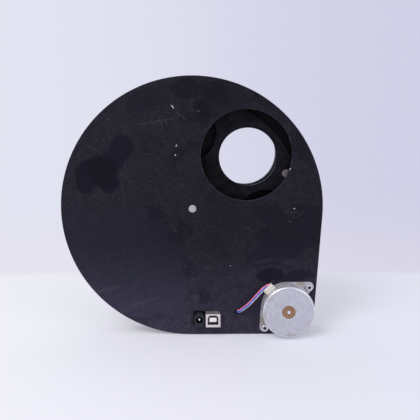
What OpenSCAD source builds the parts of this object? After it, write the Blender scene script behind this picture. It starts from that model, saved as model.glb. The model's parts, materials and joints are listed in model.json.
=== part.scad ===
// Optical filter wheel: a flat round housing whose wheel of filter cells is turned by a
// round belt from a small stepper motor. The origin lies on the light path, in the camera
// side's face. Seen from the camera side X points right and Z up; +Y points to the telescope.
// Inside the file each piece is drawn flat: x right, y up, z out of the camera-side face,
// measured from the wheel's axis. stand() then sets it upright and moves it to the origin.

/* [Housing] */
// Room between the wheel's rim and the side wall
rim_room = 10.775; // [6:0.025:14]
// Thickness of the round side wall
wall_t = 6; // [5.6:0.1:8]
// Room between the pulley and the bay milled round it
bay_room = 1.64; // [1:0.01:3]
// Thickness of the wall round that bay
bay_wall_t = 3; // [2.4:0.1:6]
// Thickness of the camera-side floor of the housing
floor_t = 3.2; // [2.8:0.1:4]
// Free depth between the floor and the wheel
board_bay = 7.8; // [7.6:0.1:10]
// Free depth between the wheel and the front cover
wheel_gap = 1.7; // [1.3:0.1:3]
// Thickness of the front cover
cover_t = 6.35; // [5:0.05:8]

/* [Light path] */
// Angle of the ports round the wheel axis
port_angle = 45; // [40:1:50]
// Radius of the opening on the camera side
camera_port_r = 36.2; // [30:0.1:37]
// Radius of the opening in the front cover
telescope_port_r = 25.4; // [20:0.1:27]

/* [Filter wheel] */
// Number of filter cells
cell_count = 7; // [6:1:8]
// Radius of the pocket that takes a round filter
pocket_r = 25.15; // [22:0.05:28]
// Width of the ledge that a filter lies on
ledge_w = 1.95; // [1:0.05:3]
// Thinnest wall between two pockets
cell_web = 2.33; // [1.5:0.01:5]
// Thinnest wall between a pocket and the wheel's rim
rim_w = 2.2; // [2:0.05:5]
// Thickness of the lip that a filter lies on
lip_t = 1.35; // [1:0.05:2.5]
// Thickness of the wheel
wheel_t = 6.35; // [6:0.05:7.5]
// Width of the bevel on the wheel's edges
wheel_bevel = 0.5; // [0.2:0.05:0.6]
// Turn of the wheel away from the light path at rest
rest_turn = -2.5; // [-4:0.1:4]
// Radius of the index magnet
magnet_r = 3.175; // [1.5:0.025:3.5]
// Thickness of the index magnet
magnet_t = 3; // [1:0.1:4]
// Distance of the index magnet's middle in from the rim
magnet_inset = 7.3; // [6:0.1:9]
// Angle from the cell in the light path to the index magnet
magnet_angle = -22.7; // [-26:0.1:-20]

/* [Hub and axle] */
// Radius of the fixed axle
axle_r = 3.175; // [3:0.025:3.4]
// Depth of the axle's end below the camera-side face
axle_recess = 0.4; // [0.1:0.1:1]
// Outer radius of the ball bearings
bearing_r = 7.9375; // [7.8:0.0125:8.5]
// Width of one ball bearing
bearing_w = 4.98; // [4.8:0.02:5.1]
// Radius of the bearing balls
ball_r = 1.19; // [1:0.01:1.25]
// Number of balls in a bearing
ball_count = 7; // [6:1:7]
// Radius of the hub's barrel
hub_r = 11; // [10:0.1:12]
// Radius of the hub's flange
hub_flange_r = 17; // [16.5:0.1:20]
// Length of the free shoulder between the floor and the first bearing
shoulder_len = 5; // [4.6:0.1:5.4]

/* [Belt drive] */
// Radius of the round belt
belt_r = 1.4; // [1.1:0.05:1.45]
// Height of the belt's centre line above the wheel's rim
belt_proud = 0.3; // [0:0.05:0.6]
// Room between the wheel's rim and the pulley's flanges
pulley_room = 5.375; // [4:0.025:12]
// Turns of the motor for one turn of the wheel
drive_ratio = 5; // [5:0.5:7]
// Depth of the belt's centre line below the wheel's camera-side face
belt_drop = 2.4; // [2.2:0.1:3]
// Radius of the pulley's hub
pulley_hub_r = 6; // [5:0.1:8]

/* [Motor] */
// Radius of the motor's can
motor_r = 21; // [20:0.1:22]
// Height of the can above the housing
motor_depth = 15.5; // [14.5:0.1:18]
// Thickness of the motor's mounting flange
flange_t = 1.2; // [1:0.1:2]
// Distance from the can's side out to an ear's screw
ear_reach = 3.75; // [3.4:0.05:6]
// Angle of the line through the two ears
ear_angle = 43.6; // [40:0.2:47]
// Radius of an ear's round end
ear_r = 4; // [3.4:0.1:4.4]
// Thickness of the can's sheet
can_t = 0.8; // [0.5:0.05:1.2]
// Radius of the bend between the can's side and its end
can_bend_r = 1.6; // [1.3:0.1:2.2]
// Radius of the motor shaft
shaft_r = 1.5; // [1.2:0.05:2]
// Radius of the shaft's bronze bearings
bush_r = 5.25; // [4.5:0.05:6]
// Radius of the rotor
rotor_r = 12; // [10:0.1:12.4]
// Number of claws on each pole plate
pole_count = 12; // [10:1:12]

/* [Controller board] */
// Distance from the housing's lower edge up to the board
board_lift = 6.775; // [6.3:0.025:8]
// Place of the board's left edge, from the wheel axis
board_x = -9.15; // [-10:0.05:-8]
// Width of the board
board_w = 50; // [49.6:0.1:52]
// Height of the board
board_h = 56; // [55:0.1:57]
// Thickness of the board
board_t = 1.6; // [1:0.1:1.8]
// Height of the space between the floor and the board
standoff_h = 3.8; // [3.7:0.1:4.2]
// Distance of the left and lower board screws from the board's edges
board_screw_inset = 3.2; // [3:0.1:5]
// Distance of the right board screws from the board's right edge
board_screw_right = 10.2; // [3:0.1:12]
// Distance of the upper board screws from the board's upper edge
board_screw_high = 3.8; // [3:0.1:5]

/* [Sockets] */
// Distance from the board's left edge to the data socket's middle
usb_x = 25.65; // [25:0.05:28]
// Distance from the board's lower edge to the data socket
usb_lift = 2; // [1.6:0.1:4]
// Gap between the data socket and the power jack
sockets_apart = 0.75; // [0.5:0.05:4]
// Distance from the board's lower edge to the power jack
jack_lift = 1; // [0.8:0.1:3]
// Width of the square data socket
usb_w = 12; // [11.8:0.05:12.2]
// Height of the square data socket
usb_h = 11; // [10.6:0.05:11.4]
// Height that the data socket stands proud of the housing
usb_proud = 8.4; // [6:0.1:9]
// Thickness of the data socket's metal shell
usb_shell_t = 0.4; // [0.3:0.05:0.5]
// Width of the power jack
jack_w = 8.6; // [8:0.05:8.8]
// Height from the power jack's foot to its hole's centre
jack_foot = 5.9; // [5.4:0.05:6]
// Height that the power jack stands proud of the housing
jack_proud = 5.5; // [4:0.1:7]
// Radius of the power jack's hole
jack_hole_r = 2.75; // [2.5:0.05:3]
// Radius of the power jack's centre pin
jack_pin_r = 1; // [0.6:0.05:1.1]
// Gap between a socket and its cut-out
socket_gap = 0.6; // [0.3:0.05:0.9]

/* [Motor leads] */
// Distance from the board's right edge to the hole for the leads
lead_hole_in = 4.65; // [4.2:0.05:7]
// Distance from the board's lower edge to the hole for the leads
lead_hole_lift = 12.3; // [11:0.1:16]
// Radius of one insulated lead
lead_r = 0.7; // [0.5:0.02:0.72]
// Radius of the hole that the leads go in through
lead_hole_r = 2.1; // [1.9:0.05:2.4]
// Angle round the motor of the lead plug
plug_angle = 131; // [129:0.5:133]
// Width of the lead plug, along the can
plug_w = 9; // [8.6:0.1:10]
// Height of the lead plug
plug_h = 4.6; // [4.2:0.1:5]
// Height of the lead plug's middle above the housing
plug_lift = 7.6; // [7:0.1:8]

/* [Fasteners] */
// Shank radius of the cover screws
cover_screw_r = 1.25; // [1:0.05:1.35]
// Length of the cover screws
cover_screw_len = 12; // [10:0.5:14]
// Shank radius of the axle screw
axle_screw_r = 1.6; // [1.4:0.05:1.8]
// Length of the axle screw
axle_screw_len = 12; // [10:0.5:14]
// Shank radius of the hub screws
hub_screw_r = 1.25; // [1:0.05:1.4]
// Shank radius of the motor screws
motor_screw_r = 1.5; // [1.25:0.05:1.6]
// Shank radius of the board screws
board_screw_r = 0.8; // [0.7:0.05:0.95]

/* [Clearances] */
// Radial clearance of a piece that is fixed in its hole
seat_gap = 0.02; // [0.01:0.01:0.05]
// Radial clearance of a running fit
run_gap = 0.05; // [0.03:0.01:0.08]
// Radial clearance of a screw in a plain hole
screw_gap = 0.2; // [0.1:0.05:0.3]

/* [Hidden] */
$fn = 96;
// Overshoot of a cutting tool past the face that it opens
cut = 1;
// Distance of an outline's straight sides inside the true tangents
side_inset = 0.002;

// Levels, from the camera-side face down into the housing
tub_depth = floor_t + board_bay + wheel_t + wheel_gap;
body_depth = tub_depth + cover_t;
wheel_top = -(floor_t + board_bay);
wheel_foot = wheel_top - wheel_t;
board_top = -(floor_t + standoff_h);
board_foot = board_top - board_t;
belt_z = wheel_top - belt_drop;

// The wheel grows with its cells, and the housing with the wheel
cell_step = 360 / cell_count;
cell_r = pocket_r - ledge_w;
port_pitch_r = (pocket_r + cell_web / 2) / sin(cell_step / 2);
wheel_r = port_pitch_r + pocket_r + rim_w;
cavity_r = wheel_r + rim_room;
housing_r = cavity_r + wall_t;
magnet_pitch_r = wheel_r - magnet_inset;

// Belt and pulley
wheel_belt_r = wheel_r + belt_proud;
pulley_belt_r = wheel_belt_r / drive_ratio;
groove_r = belt_r + run_gap;
pulley_r = pulley_belt_r + 1;
pulley_side_t = groove_r + 1;
pulley_top = -(floor_t + 1.6);
pulley_rim_top = belt_z + pulley_side_t;
set_screw_r = 1.25;
set_screw_z = (pulley_top + pulley_rim_top) / 2;
belt_sides = 10;
belt_wheel_steps = 84;
belt_pulley_steps = 18;

// Places in the plane of the camera-side face: the housing stands on the line under both circles
bay_r = pulley_r + bay_room;
corner_r = bay_r + bay_wall_t;
port_at = polar(port_pitch_r, port_angle);
drive_span = wheel_r + pulley_room + pulley_r;
drive_y = corner_r - housing_r;
drive_x = sqrt(pow(drive_span, 2) - pow(drive_y, 2));
drive_at = [drive_x, drive_y];
drive_bearing = atan2(drive_y, drive_x);
board_y = board_lift - housing_r;
first_cell = port_angle + rest_turn;

// Hub, axle and bearings
shoulder_r = 4.2;
race_t = 1.55;
ball_pitch_r = (axle_r + bearing_r) / 2;
bearing_top = -(floor_t + shoulder_len);
bearing_foot = bearing_top - 2 * bearing_w - seat_gap;
hub_flange_t = bearing_top - wheel_top;
hub_screw_pitch_r = (hub_r + hub_flange_r) / 2;
hub_screw_angles = [for (i = [0:3]) 45 + 90 * i];
axle_seat = 2.5;
axle_len = tub_depth + axle_seat - axle_recess;

// Motor
can_in_r = motor_r - can_t;
ear_at = [for (side = [-1, 1]) polar(side * (motor_r + ear_reach), ear_angle)];
coil_gap = 0.2;
motor_room = motor_depth - can_t - flange_t;
coil_h = (motor_room - 2) / 2;
pilot_gap = 0.1;
bush_len = 4;
rotor_gap = 1.4;
pole_in_r = rotor_r + 0.5;
pole_out_r = pole_in_r + 0.8;
plug_depth = 3.1;
collar_depth = 1.5;

// Screws: the head's radius and height follow the shank
head_share = 1.85;
cover_screw_pitch_r = housing_r - wall_t / 2;
low_screw_x = 20;
low_screw_at = [low_screw_x, (bay_low_y(low_screw_x) - housing_r) / 2];
low_screw_angle = 360 + atan2(low_screw_at.y, low_screw_at.x);
high_screw_angle = 2 * drive_bearing + 360 - low_screw_angle;
cover_screw_steps = 6;
cover_screws_at = concat(
  [low_screw_at, polar(norm(low_screw_at), high_screw_angle)],
  [for (i = [1:cover_screw_steps - 1])
    polar(cover_screw_pitch_r,
          high_screw_angle + i * (low_screw_angle - high_screw_angle) / cover_screw_steps)]
);

// Board pieces, measured from the board's lower left corner
board_at = [board_x, board_y];
board_corner = board_at + [0, board_h];
usb_at = board_at + [usb_x, usb_lift + usb_h / 2];
jack_at = board_at + [usb_x - usb_w / 2 - sockets_apart - jack_w / 2, jack_lift + jack_foot];
lead_hole_at = board_at + [board_w - lead_hole_in, lead_hole_lift];
jack_arch_lift = 1.2;
jack_arch_r = jack_w / 2;
hall_angle = -81;
usb_mouth_w = 8.5;
usb_mouth_h = 7.8;
usb_mouth_lift = 0.5;
usb_mouth_depth = 9;
usb_tongue_w = 5.7;
usb_tongue_h = 3.6;
jack_hole_depth = 9;
board_screw_head_h = 1.2;
header_size = [8, 5, 2.6];
capacitor_size = [6, 3.2, 2.6];
crystal_size = [6.6, 4.6, 3.3];
regulator_size = [6.6, 6, 2.3];

// Leads, in the order red, blue, yellow, white: places along the plug, places in the hole
// as [along the run, across it], and the two handles that bend each lead on its way
lead_rows = [-3, -1, 1, 3];
lead_spots = [[0, 1], [1, 0], [-1, 0], [0, -1]];
lead_out = [[0.5, 4.5, -9], [1.5, 8, -1.5], [0.5, 1.5, -7], [3, 3, -2]];
lead_in = [[1, -1, 12.5], [6.5, -7.5, 8], [-3, -1.5, 8.5], [-4, -5.5, 6.5]];
lead_spread = 1.05;
lead_stub = 0.8;
lead_mouth_z = 0.9;
lead_sides = 8;
lead_rings = 20;

function polar(r, a) = [r * cos(a), r * sin(a)];

// Height of the cavity's lower side at a place x along it
function bay_low_y(x) = -(cavity_r + (bay_r + housing_r - corner_r - cavity_r) * x / drive_x);

// Point at share t of a curve drawn by four handles
function bend_point(p, t) =
  pow(1 - t, 3) * p[0] + 3 * t * pow(1 - t, 2) * p[1]
  + 3 * t * t * (1 - t) * p[2] + pow(t, 3) * p[3];

// Set a piece that is drawn flat upright, with the light path at the origin
module stand() {
  translate([-port_at.x, 0, -port_at.y])
    rotate([90, 0, 0])
      children();
}

// Two circles joined by their outer tangents: one at the centre, one at the place given.
// The straight sides lie a hair inside the tangents, so that they cross the circles cleanly.
module tangent_pair(near_r, at, far_r) {
  bearing = atan2(at.y, at.x);
  spread = acos((near_r - far_r) / norm(at));
  up = bearing + spread;
  down = bearing - spread;
  circle(near_r);
  translate(at) circle(far_r);
  polygon([
    polar(near_r - side_inset, down), at + polar(far_r - side_inset, down),
    at + polar(far_r - side_inset, up), polar(near_r - side_inset, up)
  ]);
}

// The housing's outline
module housing_outline() {
  tangent_pair(housing_r, drive_at, corner_r);
}

// A ring between two radii and two levels
module ring(out_r, in_r, low, high) {
  translate([0, 0, low])
    difference() {
      cylinder(h = high - low, r = out_r);
      translate([0, 0, -cut]) cylinder(h = high - low + 2 * cut, r = in_r);
    }
}

// A round post or hole along z between two levels
module hole(at, r, low, high) {
  translate([at.x, at.y, low]) cylinder(h = high - low, r = r);
}

// A block with its lower left corner at a place, between two levels
module block(at, size, low, high) {
  translate([at.x, at.y, low]) cube([size.x, size.y, high - low]);
}

// Countersunk screw: its flat face lies at z = 0 and its shank points along +z
module flat_screw(shank, length) {
  difference() {
    union() {
      cylinder(h = (head_share - 1) * shank, r1 = head_share * shank, r2 = shank);
      cylinder(h = length, r = shank);
    }
    translate([0, 0, -cut]) cylinder(h = cut + shank, r = 0.7 * shank, $fn = 6);
  }
}

// Hole for a countersunk screw
module flat_screw_hole(shank, depth) {
  cylinder(h = (head_share - 1) * shank + screw_gap, r1 = head_share * shank + screw_gap, r2 = shank);
  cylinder(h = depth, r = shank + screw_gap);
}

// Socket-head screw: its head stands on z = 0 and its shank points along -z
module cap_screw(shank, length, head, head_h) {
  difference() {
    union() {
      cylinder(h = head_h, r = head);
      translate([0, 0, -length]) cylinder(h = length + head_h / 2, r = shank);
    }
    translate([0, 0, head_h / 2]) cylinder(h = head_h, r = head * 0.48, $fn = 6);
  }
}

// Camera-side shell: floor, side wall and the bays milled inside
module rear_housing() {
  stand() color("#2b2a31") difference() {
    translate([0, 0, -tub_depth]) linear_extrude(tub_depth) housing_outline();
    translate([0, 0, -tub_depth - cut])
      linear_extrude(tub_depth - floor_t + cut) tangent_pair(cavity_r, drive_at, bay_r);
    block(board_at - [0.5, 0.5], [board_w + 1, board_h + 1], wheel_top, -floor_t);
    hole(port_at, camera_port_r, -floor_t - cut, cut);
    hole([0, 0], axle_r + seat_gap, -floor_t - cut, cut);
    hole(drive_at, bush_r + pilot_gap, -floor_t - cut, cut);
    for (at = ear_at) hole(drive_at + at, motor_screw_r + seat_gap, -floor_t - cut, cut);
    hole(lead_hole_at, lead_hole_r, -floor_t - cut, cut);
    socket_cutouts();
    for (at = board_screw_places()) hole(at, board_screw_r + seat_gap, -floor_t - cut, cut);
    for (at = cover_screws_at)
      hole(at, cover_screw_r + seat_gap, -tub_depth - cut, cover_screw_len - body_depth + cut);
  }
}

// Cut-outs for the two sockets in the floor
module socket_cutouts() {
  usb_low = usb_at - [usb_w, usb_h] / 2 - [socket_gap, socket_gap];
  block(usb_low, [usb_w, usb_h] + 2 * [socket_gap, socket_gap], -floor_t - cut, cut);
  jack_low = jack_at - [jack_w / 2 + socket_gap, jack_foot + socket_gap];
  jack_tall = jack_foot + jack_arch_lift + jack_arch_r + 2.5 * socket_gap;
  block(jack_low, [jack_w + 2 * socket_gap, jack_tall], -floor_t - cut, cut);
}

// Places of the board's four screws
function board_screw_places() = [
  for (i = [0, 1]) for (j = [0, 1])
    board_at + [
      i == 0 ? board_screw_inset : board_w - board_screw_right,
      j == 0 ? board_screw_inset : board_h - board_screw_high
    ]
];

// Telescope-side cover plate
module front_cover() {
  stand() color("#26252b") difference() {
    translate([0, 0, -body_depth]) linear_extrude(cover_t) housing_outline();
    hole(port_at, telescope_port_r, -body_depth - cut, -tub_depth + cut);
    hole([0, 0], axle_r + seat_gap, -tub_depth - axle_seat, -tub_depth + cut);
    translate([0, 0, -body_depth]) flat_screw_hole(axle_screw_r, cover_t);
    for (at = cover_screws_at)
      translate([at.x, at.y, -body_depth]) flat_screw_hole(cover_screw_r, cover_t + cut);
  }
}

module cover_screws() {
  stand() color("#3a3a3e")
    for (at = cover_screws_at)
      translate([at.x, at.y, -body_depth]) flat_screw(cover_screw_r, cover_screw_len);
}

// Fixed axle: its end shows in the floor, and its shoulder sets the first bearing's place
module axle() {
  axle_foot = -tub_depth - axle_seat;
  stand() color("#b9b9bd") difference() {
    union() {
      translate([0, 0, axle_foot]) cylinder(h = axle_len, r = axle_r);
      translate([0, 0, bearing_top]) cylinder(h = shoulder_len, r = shoulder_r);
    }
    translate([0, 0, axle_foot - cut])
      cylinder(h = axle_screw_len - cover_t + axle_seat + 2 * cut, r = axle_screw_r + seat_gap);
  }
}

module axle_screw() {
  stand() color("#3a3a3e")
    translate([0, 0, -body_depth]) flat_screw(axle_screw_r, axle_screw_len);
}

// Thin ring that fills the play between the second bearing and the cover
module axle_shim() {
  stand() color("#a8a8ac") ring(shoulder_r, axle_r + seat_gap, -tub_depth, bearing_foot);
}

// Level of the middle of each of the two bearings
function bearing_middle(i) = bearing_top - (i + 0.5) * bearing_w - i * seat_gap;

// One bearing race, with the track of its balls
module race(in_r, out_r, middle) {
  rotate_extrude()
    translate([0, middle]) difference() {
      translate([in_r, -bearing_w / 2]) square([out_r - in_r, bearing_w]);
      translate([ball_pitch_r, 0]) circle(ball_r + run_gap);
    }
}

module bearing_inner_races() {
  stand() color("#c8c8cc")
    for (i = [0, 1])
      race(axle_r + seat_gap, axle_r + race_t, bearing_middle(i));
}

module bearing_outer_races() {
  stand() color("#c8c8cc")
    for (i = [0, 1])
      race(bearing_r - race_t, bearing_r - seat_gap, bearing_middle(i));
}

// Every ball's place, in both bearings
function ball_places() = [
  for (i = [0, 1]) for (j = [0:ball_count - 1])
    let (at = polar(ball_pitch_r, j * 360 / ball_count))
      [at.x, at.y, bearing_middle(i)]
];

module bearing_balls() {
  stand() color("#d8d8dc")
    for (at = ball_places()) translate(at) sphere(ball_r);
}

// Cages that hold the balls apart: two thin rings with a post between each pair of balls
module bearing_cages() {
  cage_t = 0.4;
  half_h = ball_r + 0.15;
  stand() color("#b08a4a")
    for (i = [0, 1]) translate([0, 0, bearing_middle(i)]) {
      for (low = [-half_h - cage_t, half_h])
        ring(ball_pitch_r + cage_t, ball_pitch_r - cage_t, low, low + cage_t);
      for (j = [0:ball_count - 1])
        hole(polar(ball_pitch_r, (j + 0.5) * 360 / ball_count), 0.3, -half_h - 0.1, half_h + 0.1);
    }
}

// Flanged hub that carries the wheel on its bearings
module wheel_hub() {
  stand() color("#9a9a9e") difference() {
    union() {
      ring(hub_r, bearing_r, bearing_foot, bearing_top);
      ring(hub_flange_r, bearing_r, wheel_top, bearing_top);
    }
    for (a = hub_screw_angles)
      translate([each polar(hub_screw_pitch_r, a), bearing_top])
        rotate([180, 0, 0]) flat_screw_hole(hub_screw_r, hub_flange_t + cut);
  }
}

module hub_screws() {
  stand() color("#3a3a3e")
    for (a = hub_screw_angles)
      translate([each polar(hub_screw_pitch_r, a), bearing_top])
        rotate([180, 0, 0]) flat_screw(hub_screw_r, hub_flange_t + wheel_t - cut);
}

// The profile that is turned into the wheel: bevelled edges and the belt's groove
module wheel_profile() {
  difference() {
    polygon([
      [hub_r + seat_gap, wheel_foot], [wheel_r - wheel_bevel, wheel_foot],
      [wheel_r, wheel_foot + wheel_bevel], [wheel_r, wheel_top - wheel_bevel],
      [wheel_r - wheel_bevel, wheel_top], [hub_r + seat_gap, wheel_top]
    ]);
    translate([wheel_belt_r, belt_z]) belt_groove();
  }
}

// A round-bottomed groove, open outwards
module belt_groove() {
  circle(groove_r);
  translate([0, -groove_r]) square([3 * belt_r, 2 * groove_r]);
}

module filter_wheel() {
  stand() color("#1f1e23") difference() {
    rotate_extrude() wheel_profile();
    for (i = [0:cell_count - 1]) {
      at = polar(port_pitch_r, first_cell + i * cell_step);
      hole(at, cell_r, wheel_foot - cut, wheel_top + cut);
      hole(at, pocket_r, wheel_foot - cut, wheel_top - lip_t);
    }
    for (a = hub_screw_angles)
      hole(polar(hub_screw_pitch_r, a), hub_screw_r + seat_gap, wheel_foot - cut, wheel_top + cut);
    hole(magnet_place(), magnet_r + seat_gap, wheel_top - magnet_t, wheel_top + cut);
  }
}

function magnet_place() = polar(magnet_pitch_r, first_cell + magnet_angle);

module index_magnet() {
  stand() color("#b4aca8")
    hole(magnet_place(), magnet_r, wheel_top - magnet_t, wheel_top);
}

// Endless round belt: an arc round each pulley and two straight runs
module drive_belt() {
  spread = acos((wheel_belt_r - pulley_belt_r) / drive_span);
  up = drive_bearing + spread;
  wheel_arc = 360 - 2 * spread;
  path = concat(
    [for (j = [0:belt_wheel_steps]) polar(wheel_belt_r, up + j * wheel_arc / belt_wheel_steps)],
    [for (j = [0:belt_pulley_steps])
      drive_at + polar(pulley_belt_r, up - 2 * spread + j * 2 * spread / belt_pulley_steps)]
  );
  headings = concat(
    [for (j = [0:belt_wheel_steps]) up + j * wheel_arc / belt_wheel_steps],
    [for (j = [0:belt_pulley_steps]) up - 2 * spread + j * 2 * spread / belt_pulley_steps]
  );
  count = len(path);
  points = [
    for (j = [0:count - 1]) for (m = [0:belt_sides - 1])
      let (out = belt_r * cos(m * 360 / belt_sides), rise = belt_r * sin(m * 360 / belt_sides))
        [each (path[j] + polar(out, headings[j])), belt_z + rise]
  ];
  faces = [
    for (j = [0:count - 1]) for (m = [0:belt_sides - 1])
      let (n = (j + 1) % count, k = (m + 1) % belt_sides)
        [j * belt_sides + m, j * belt_sides + k, n * belt_sides + k, n * belt_sides + m]
  ];
  stand() color("#1a1a1a") polyhedron(points = points, faces = faces, convexity = 4);
}

// Small grooved pulley on the motor shaft
module drive_pulley() {
  stand() color("#8f8f94") translate([each drive_at, 0]) difference() {
    union() {
      ring(pulley_hub_r, shaft_r + seat_gap, pulley_rim_top - cut, pulley_top);
      rotate_extrude()
        difference() {
          translate([shaft_r + seat_gap, belt_z - pulley_side_t])
            square([pulley_r - shaft_r - seat_gap, 2 * pulley_side_t]);
          translate([pulley_belt_r, belt_z]) belt_groove();
        }
    }
    translate([0, 0, set_screw_z]) rotate([0, 90, 0])
      cylinder(h = pulley_hub_r + cut, r = set_screw_r + seat_gap);
  }
}

module pulley_set_screw() {
  stand() color("#3a3a3e") translate([each drive_at, set_screw_z]) rotate([0, 90, 0])
    difference() {
      translate([0, 0, shaft_r + 2 * seat_gap])
        cylinder(h = pulley_hub_r - shaft_r - 0.5, r = set_screw_r);
      translate([0, 0, pulley_hub_r - 2]) cylinder(h = 3, r = 0.6, $fn = 6);
    }
}

// Deep-drawn can with a rounded shoulder, open towards the housing
module motor_can() {
  bend_z = motor_depth - can_bend_r;
  bend = [for (a = [0:10:90]) [motor_r - can_bend_r, bend_z] + polar(can_bend_r, a)];
  in_bend = can_bend_r - can_t;
  inner = [for (a = [90:-10:0]) [motor_r - can_bend_r, bend_z] + polar(in_bend, a)];
  stand() color("#c9cbd0") translate([each drive_at, 0]) difference() {
    rotate_extrude()
      polygon(concat(
        [[motor_r, flange_t]], bend, [[bush_r + seat_gap, motor_depth]],
        [[bush_r + seat_gap, motor_depth - can_t]], inner, [[can_in_r, flange_t]]
      ));
    rotate([0, 0, plug_angle])
      block([motor_r - 3, -plug_w / 2 - seat_gap], [6, plug_w + 2 * seat_gap],
            plug_lift - plug_h / 2 - seat_gap, plug_lift + plug_h / 2 + seat_gap);
  }
}

// Mounting flange with two ears
module motor_flange() {
  stand() color("#bdbfc4") translate([each drive_at, 0]) difference() {
    linear_extrude(flange_t)
      for (at = ear_at) tangent_pair(motor_r, at, ear_r);
    for (at = ear_at) hole(at, motor_screw_r + screw_gap, -cut, flange_t + cut);
    hole([0, 0], bush_r + seat_gap, -cut, flange_t + cut);
  }
}

module motor_screws() {
  stand() color("#d6d6da")
    for (at = ear_at)
      translate([each (drive_at + at), flange_t])
        cap_screw(motor_screw_r, flange_t + floor_t, head_share * motor_screw_r, 2 * motor_screw_r);
}

// Bronze bush in the can's end
module motor_rear_bush() {
  stand() color("#a9713a") translate([each drive_at, 0])
    ring(bush_r, shaft_r + run_gap, motor_depth - can_t - 1.6, motor_depth + 0.1);
}

// Bronze bush in the flange, whose nose centres the motor in the housing
module motor_front_bush() {
  stand() color("#a9713a") translate([each drive_at, 0])
    ring(bush_r, shaft_r + run_gap, 0.6 - floor_t, flange_t + 1.4);
}

module motor_shaft() {
  shaft_foot = belt_z - pulley_side_t - 0.5;
  tip = 0.3;
  stand() color("#d9d9dd") translate([each drive_at, 0]) {
    translate([0, 0, shaft_foot]) cylinder(h = motor_depth - shaft_foot, r = shaft_r);
    translate([0, 0, motor_depth]) cylinder(h = tip, r1 = shaft_r, r2 = shaft_r - tip);
  }
}

// Ring magnet on the shaft
module motor_rotor() {
  stand() color("#55555a") translate([each drive_at, 0])
    ring(rotor_r, shaft_r + seat_gap, flange_t + bush_len - rotor_gap,
         motor_depth - can_t - bush_len + rotor_gap);
}

// Two windings on their bobbins
module stator_coils() {
  stand() color("#a5552a") translate([each drive_at, 0])
    for (i = [0, 1]) {
      low = flange_t + 0.5 + i * (coil_h + 1);
      ring(can_in_r - coil_gap, pole_out_r + coil_gap, low, low + coil_h);
    }
}

// Pole plates: one under, one between and one over the windings, each with its claws
module stator_poles() {
  plates = [flange_t + 0.05, flange_t + 0.55 + coil_h, flange_t + 1.55 + 2 * coil_h];
  claw_w = PI * pole_in_r / pole_count * 0.8;
  stand() color("#8d8f94") translate([each drive_at, 0])
    for (i = [0:2]) {
      ring(motor_r - can_bend_r, pole_in_r, plates[i], plates[i] + [0.4, 0.9, 0.4][i]);
      for (j = [0:pole_count - 1])
        rotate([0, 0, (j + i / 2) * 360 / pole_count])
          block([pole_in_r, -claw_w / 2], [pole_out_r - pole_in_r, claw_w],
                plates[i] - (i == 0 ? 0 : 0.7 * coil_h), plates[i] + (i == 2 ? 0.4 : 0.7 * coil_h));
    }
}

// Cream socket set in the can's side
module motor_socket() {
  stand() color("#e4dcc8") translate([each drive_at, 0]) rotate([0, 0, plug_angle]) difference() {
    union() {
      block([can_in_r - cut, -plug_w / 2], [cut + can_t + collar_depth / 2, plug_w],
            plug_lift - plug_h / 2, plug_lift + plug_h / 2);
      block([motor_r + seat_gap, -plug_w / 2 - 0.4], [collar_depth, plug_w + 0.8],
            plug_lift - plug_h / 2 - 0.4, plug_lift + plug_h / 2 + 0.4);
    }
    translate([0, 0, flange_t]) cylinder(h = motor_depth, r = can_in_r - coil_gap / 2);
  }
}

// Plug on the leads' ends, with the ribs that its fingers grip
module lead_plug() {
  root = motor_r + seat_gap + collar_depth;
  stand() color("#efe9da") translate([each drive_at, 0]) rotate([0, 0, plug_angle]) {
    block([root, -plug_w / 2], [plug_depth, plug_w],
          plug_lift - plug_h / 2, plug_lift + plug_h / 2);
    for (side = [-1, 1])
      block([root, side * plug_w / 2 - 0.5], [plug_depth - 1, 1],
            plug_lift + plug_h / 2, plug_lift + plug_h / 2 + 0.6);
  }
}

// One lead: out of the plug, over in a bow, and down through the hole to the header
module lead(i) {
  out = polar(1, plug_angle);
  along = polar(1, plug_angle + 90);
  root = drive_at + (motor_r + seat_gap + collar_depth + plug_depth) * out;
  run = (lead_hole_at - root) / norm(lead_hole_at - root);
  across = [run.y, -run.x];
  start = [each (root + lead_rows[i] * along), plug_lift];
  stub = [each (lead_stub * out), 0];
  spot = lead_spread * (lead_spots[i].x * run + lead_spots[i].y * across);
  mouth = [each (lead_hole_at + spot), lead_mouth_z];
  leave = lead_out[i];
  enter = lead_in[i];
  handles = [
    start + stub,
    start + [each (leave.x * along + leave.y * out), leave.z],
    mouth + [each (enter.x * run + enter.y * across), enter.z],
    mouth
  ];
  path = concat(
    [start],
    [for (j = [0:lead_rings]) bend_point(handles, j / lead_rings)],
    [[mouth.x, mouth.y, board_top + header_size.z]]
  );
  tube(path, lead_r);
}

// A round tube swept along a path
module tube(path, r) {
  last = len(path) - 1;
  function heading(j) =
    let (d = path[min(j + 1, last)] - path[max(j - 1, 0)]) d / norm(d);
  function side_of(d) = let (s = cross(d, [0.05, 1, 0])) s / norm(s);
  rings = [
    for (j = [0:last])
      let (d = j == last ? [0, 0, -1] : heading(j), s = side_of(d), u = cross(s, d))
        for (m = [0:lead_sides - 1])
          path[j] + r * (cos(m * 360 / lead_sides) * s + sin(m * 360 / lead_sides) * u)
  ];
  sides = [
    for (j = [0:last - 1]) for (m = [0:lead_sides - 1])
      let (a = j * lead_sides + m, b = j * lead_sides + (m + 1) % lead_sides)
        [a, b, b + lead_sides, a + lead_sides]
  ];
  ends = [
    [for (m = [lead_sides - 1:-1:0]) m],
    [for (m = [0:lead_sides - 1]) last * lead_sides + m]
  ];
  polyhedron(points = rings, faces = concat(sides, ends), convexity = 4);
}

module lead_red() {
  stand() color("#f0607c") lead(0);
}

module lead_blue() {
  stand() color("#2a62d8") lead(1);
}

module lead_white() {
  stand() color("#e9e6dc") lead(3);
}

module lead_yellow() {
  stand() color("#e3c84a") lead(2);
}

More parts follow.
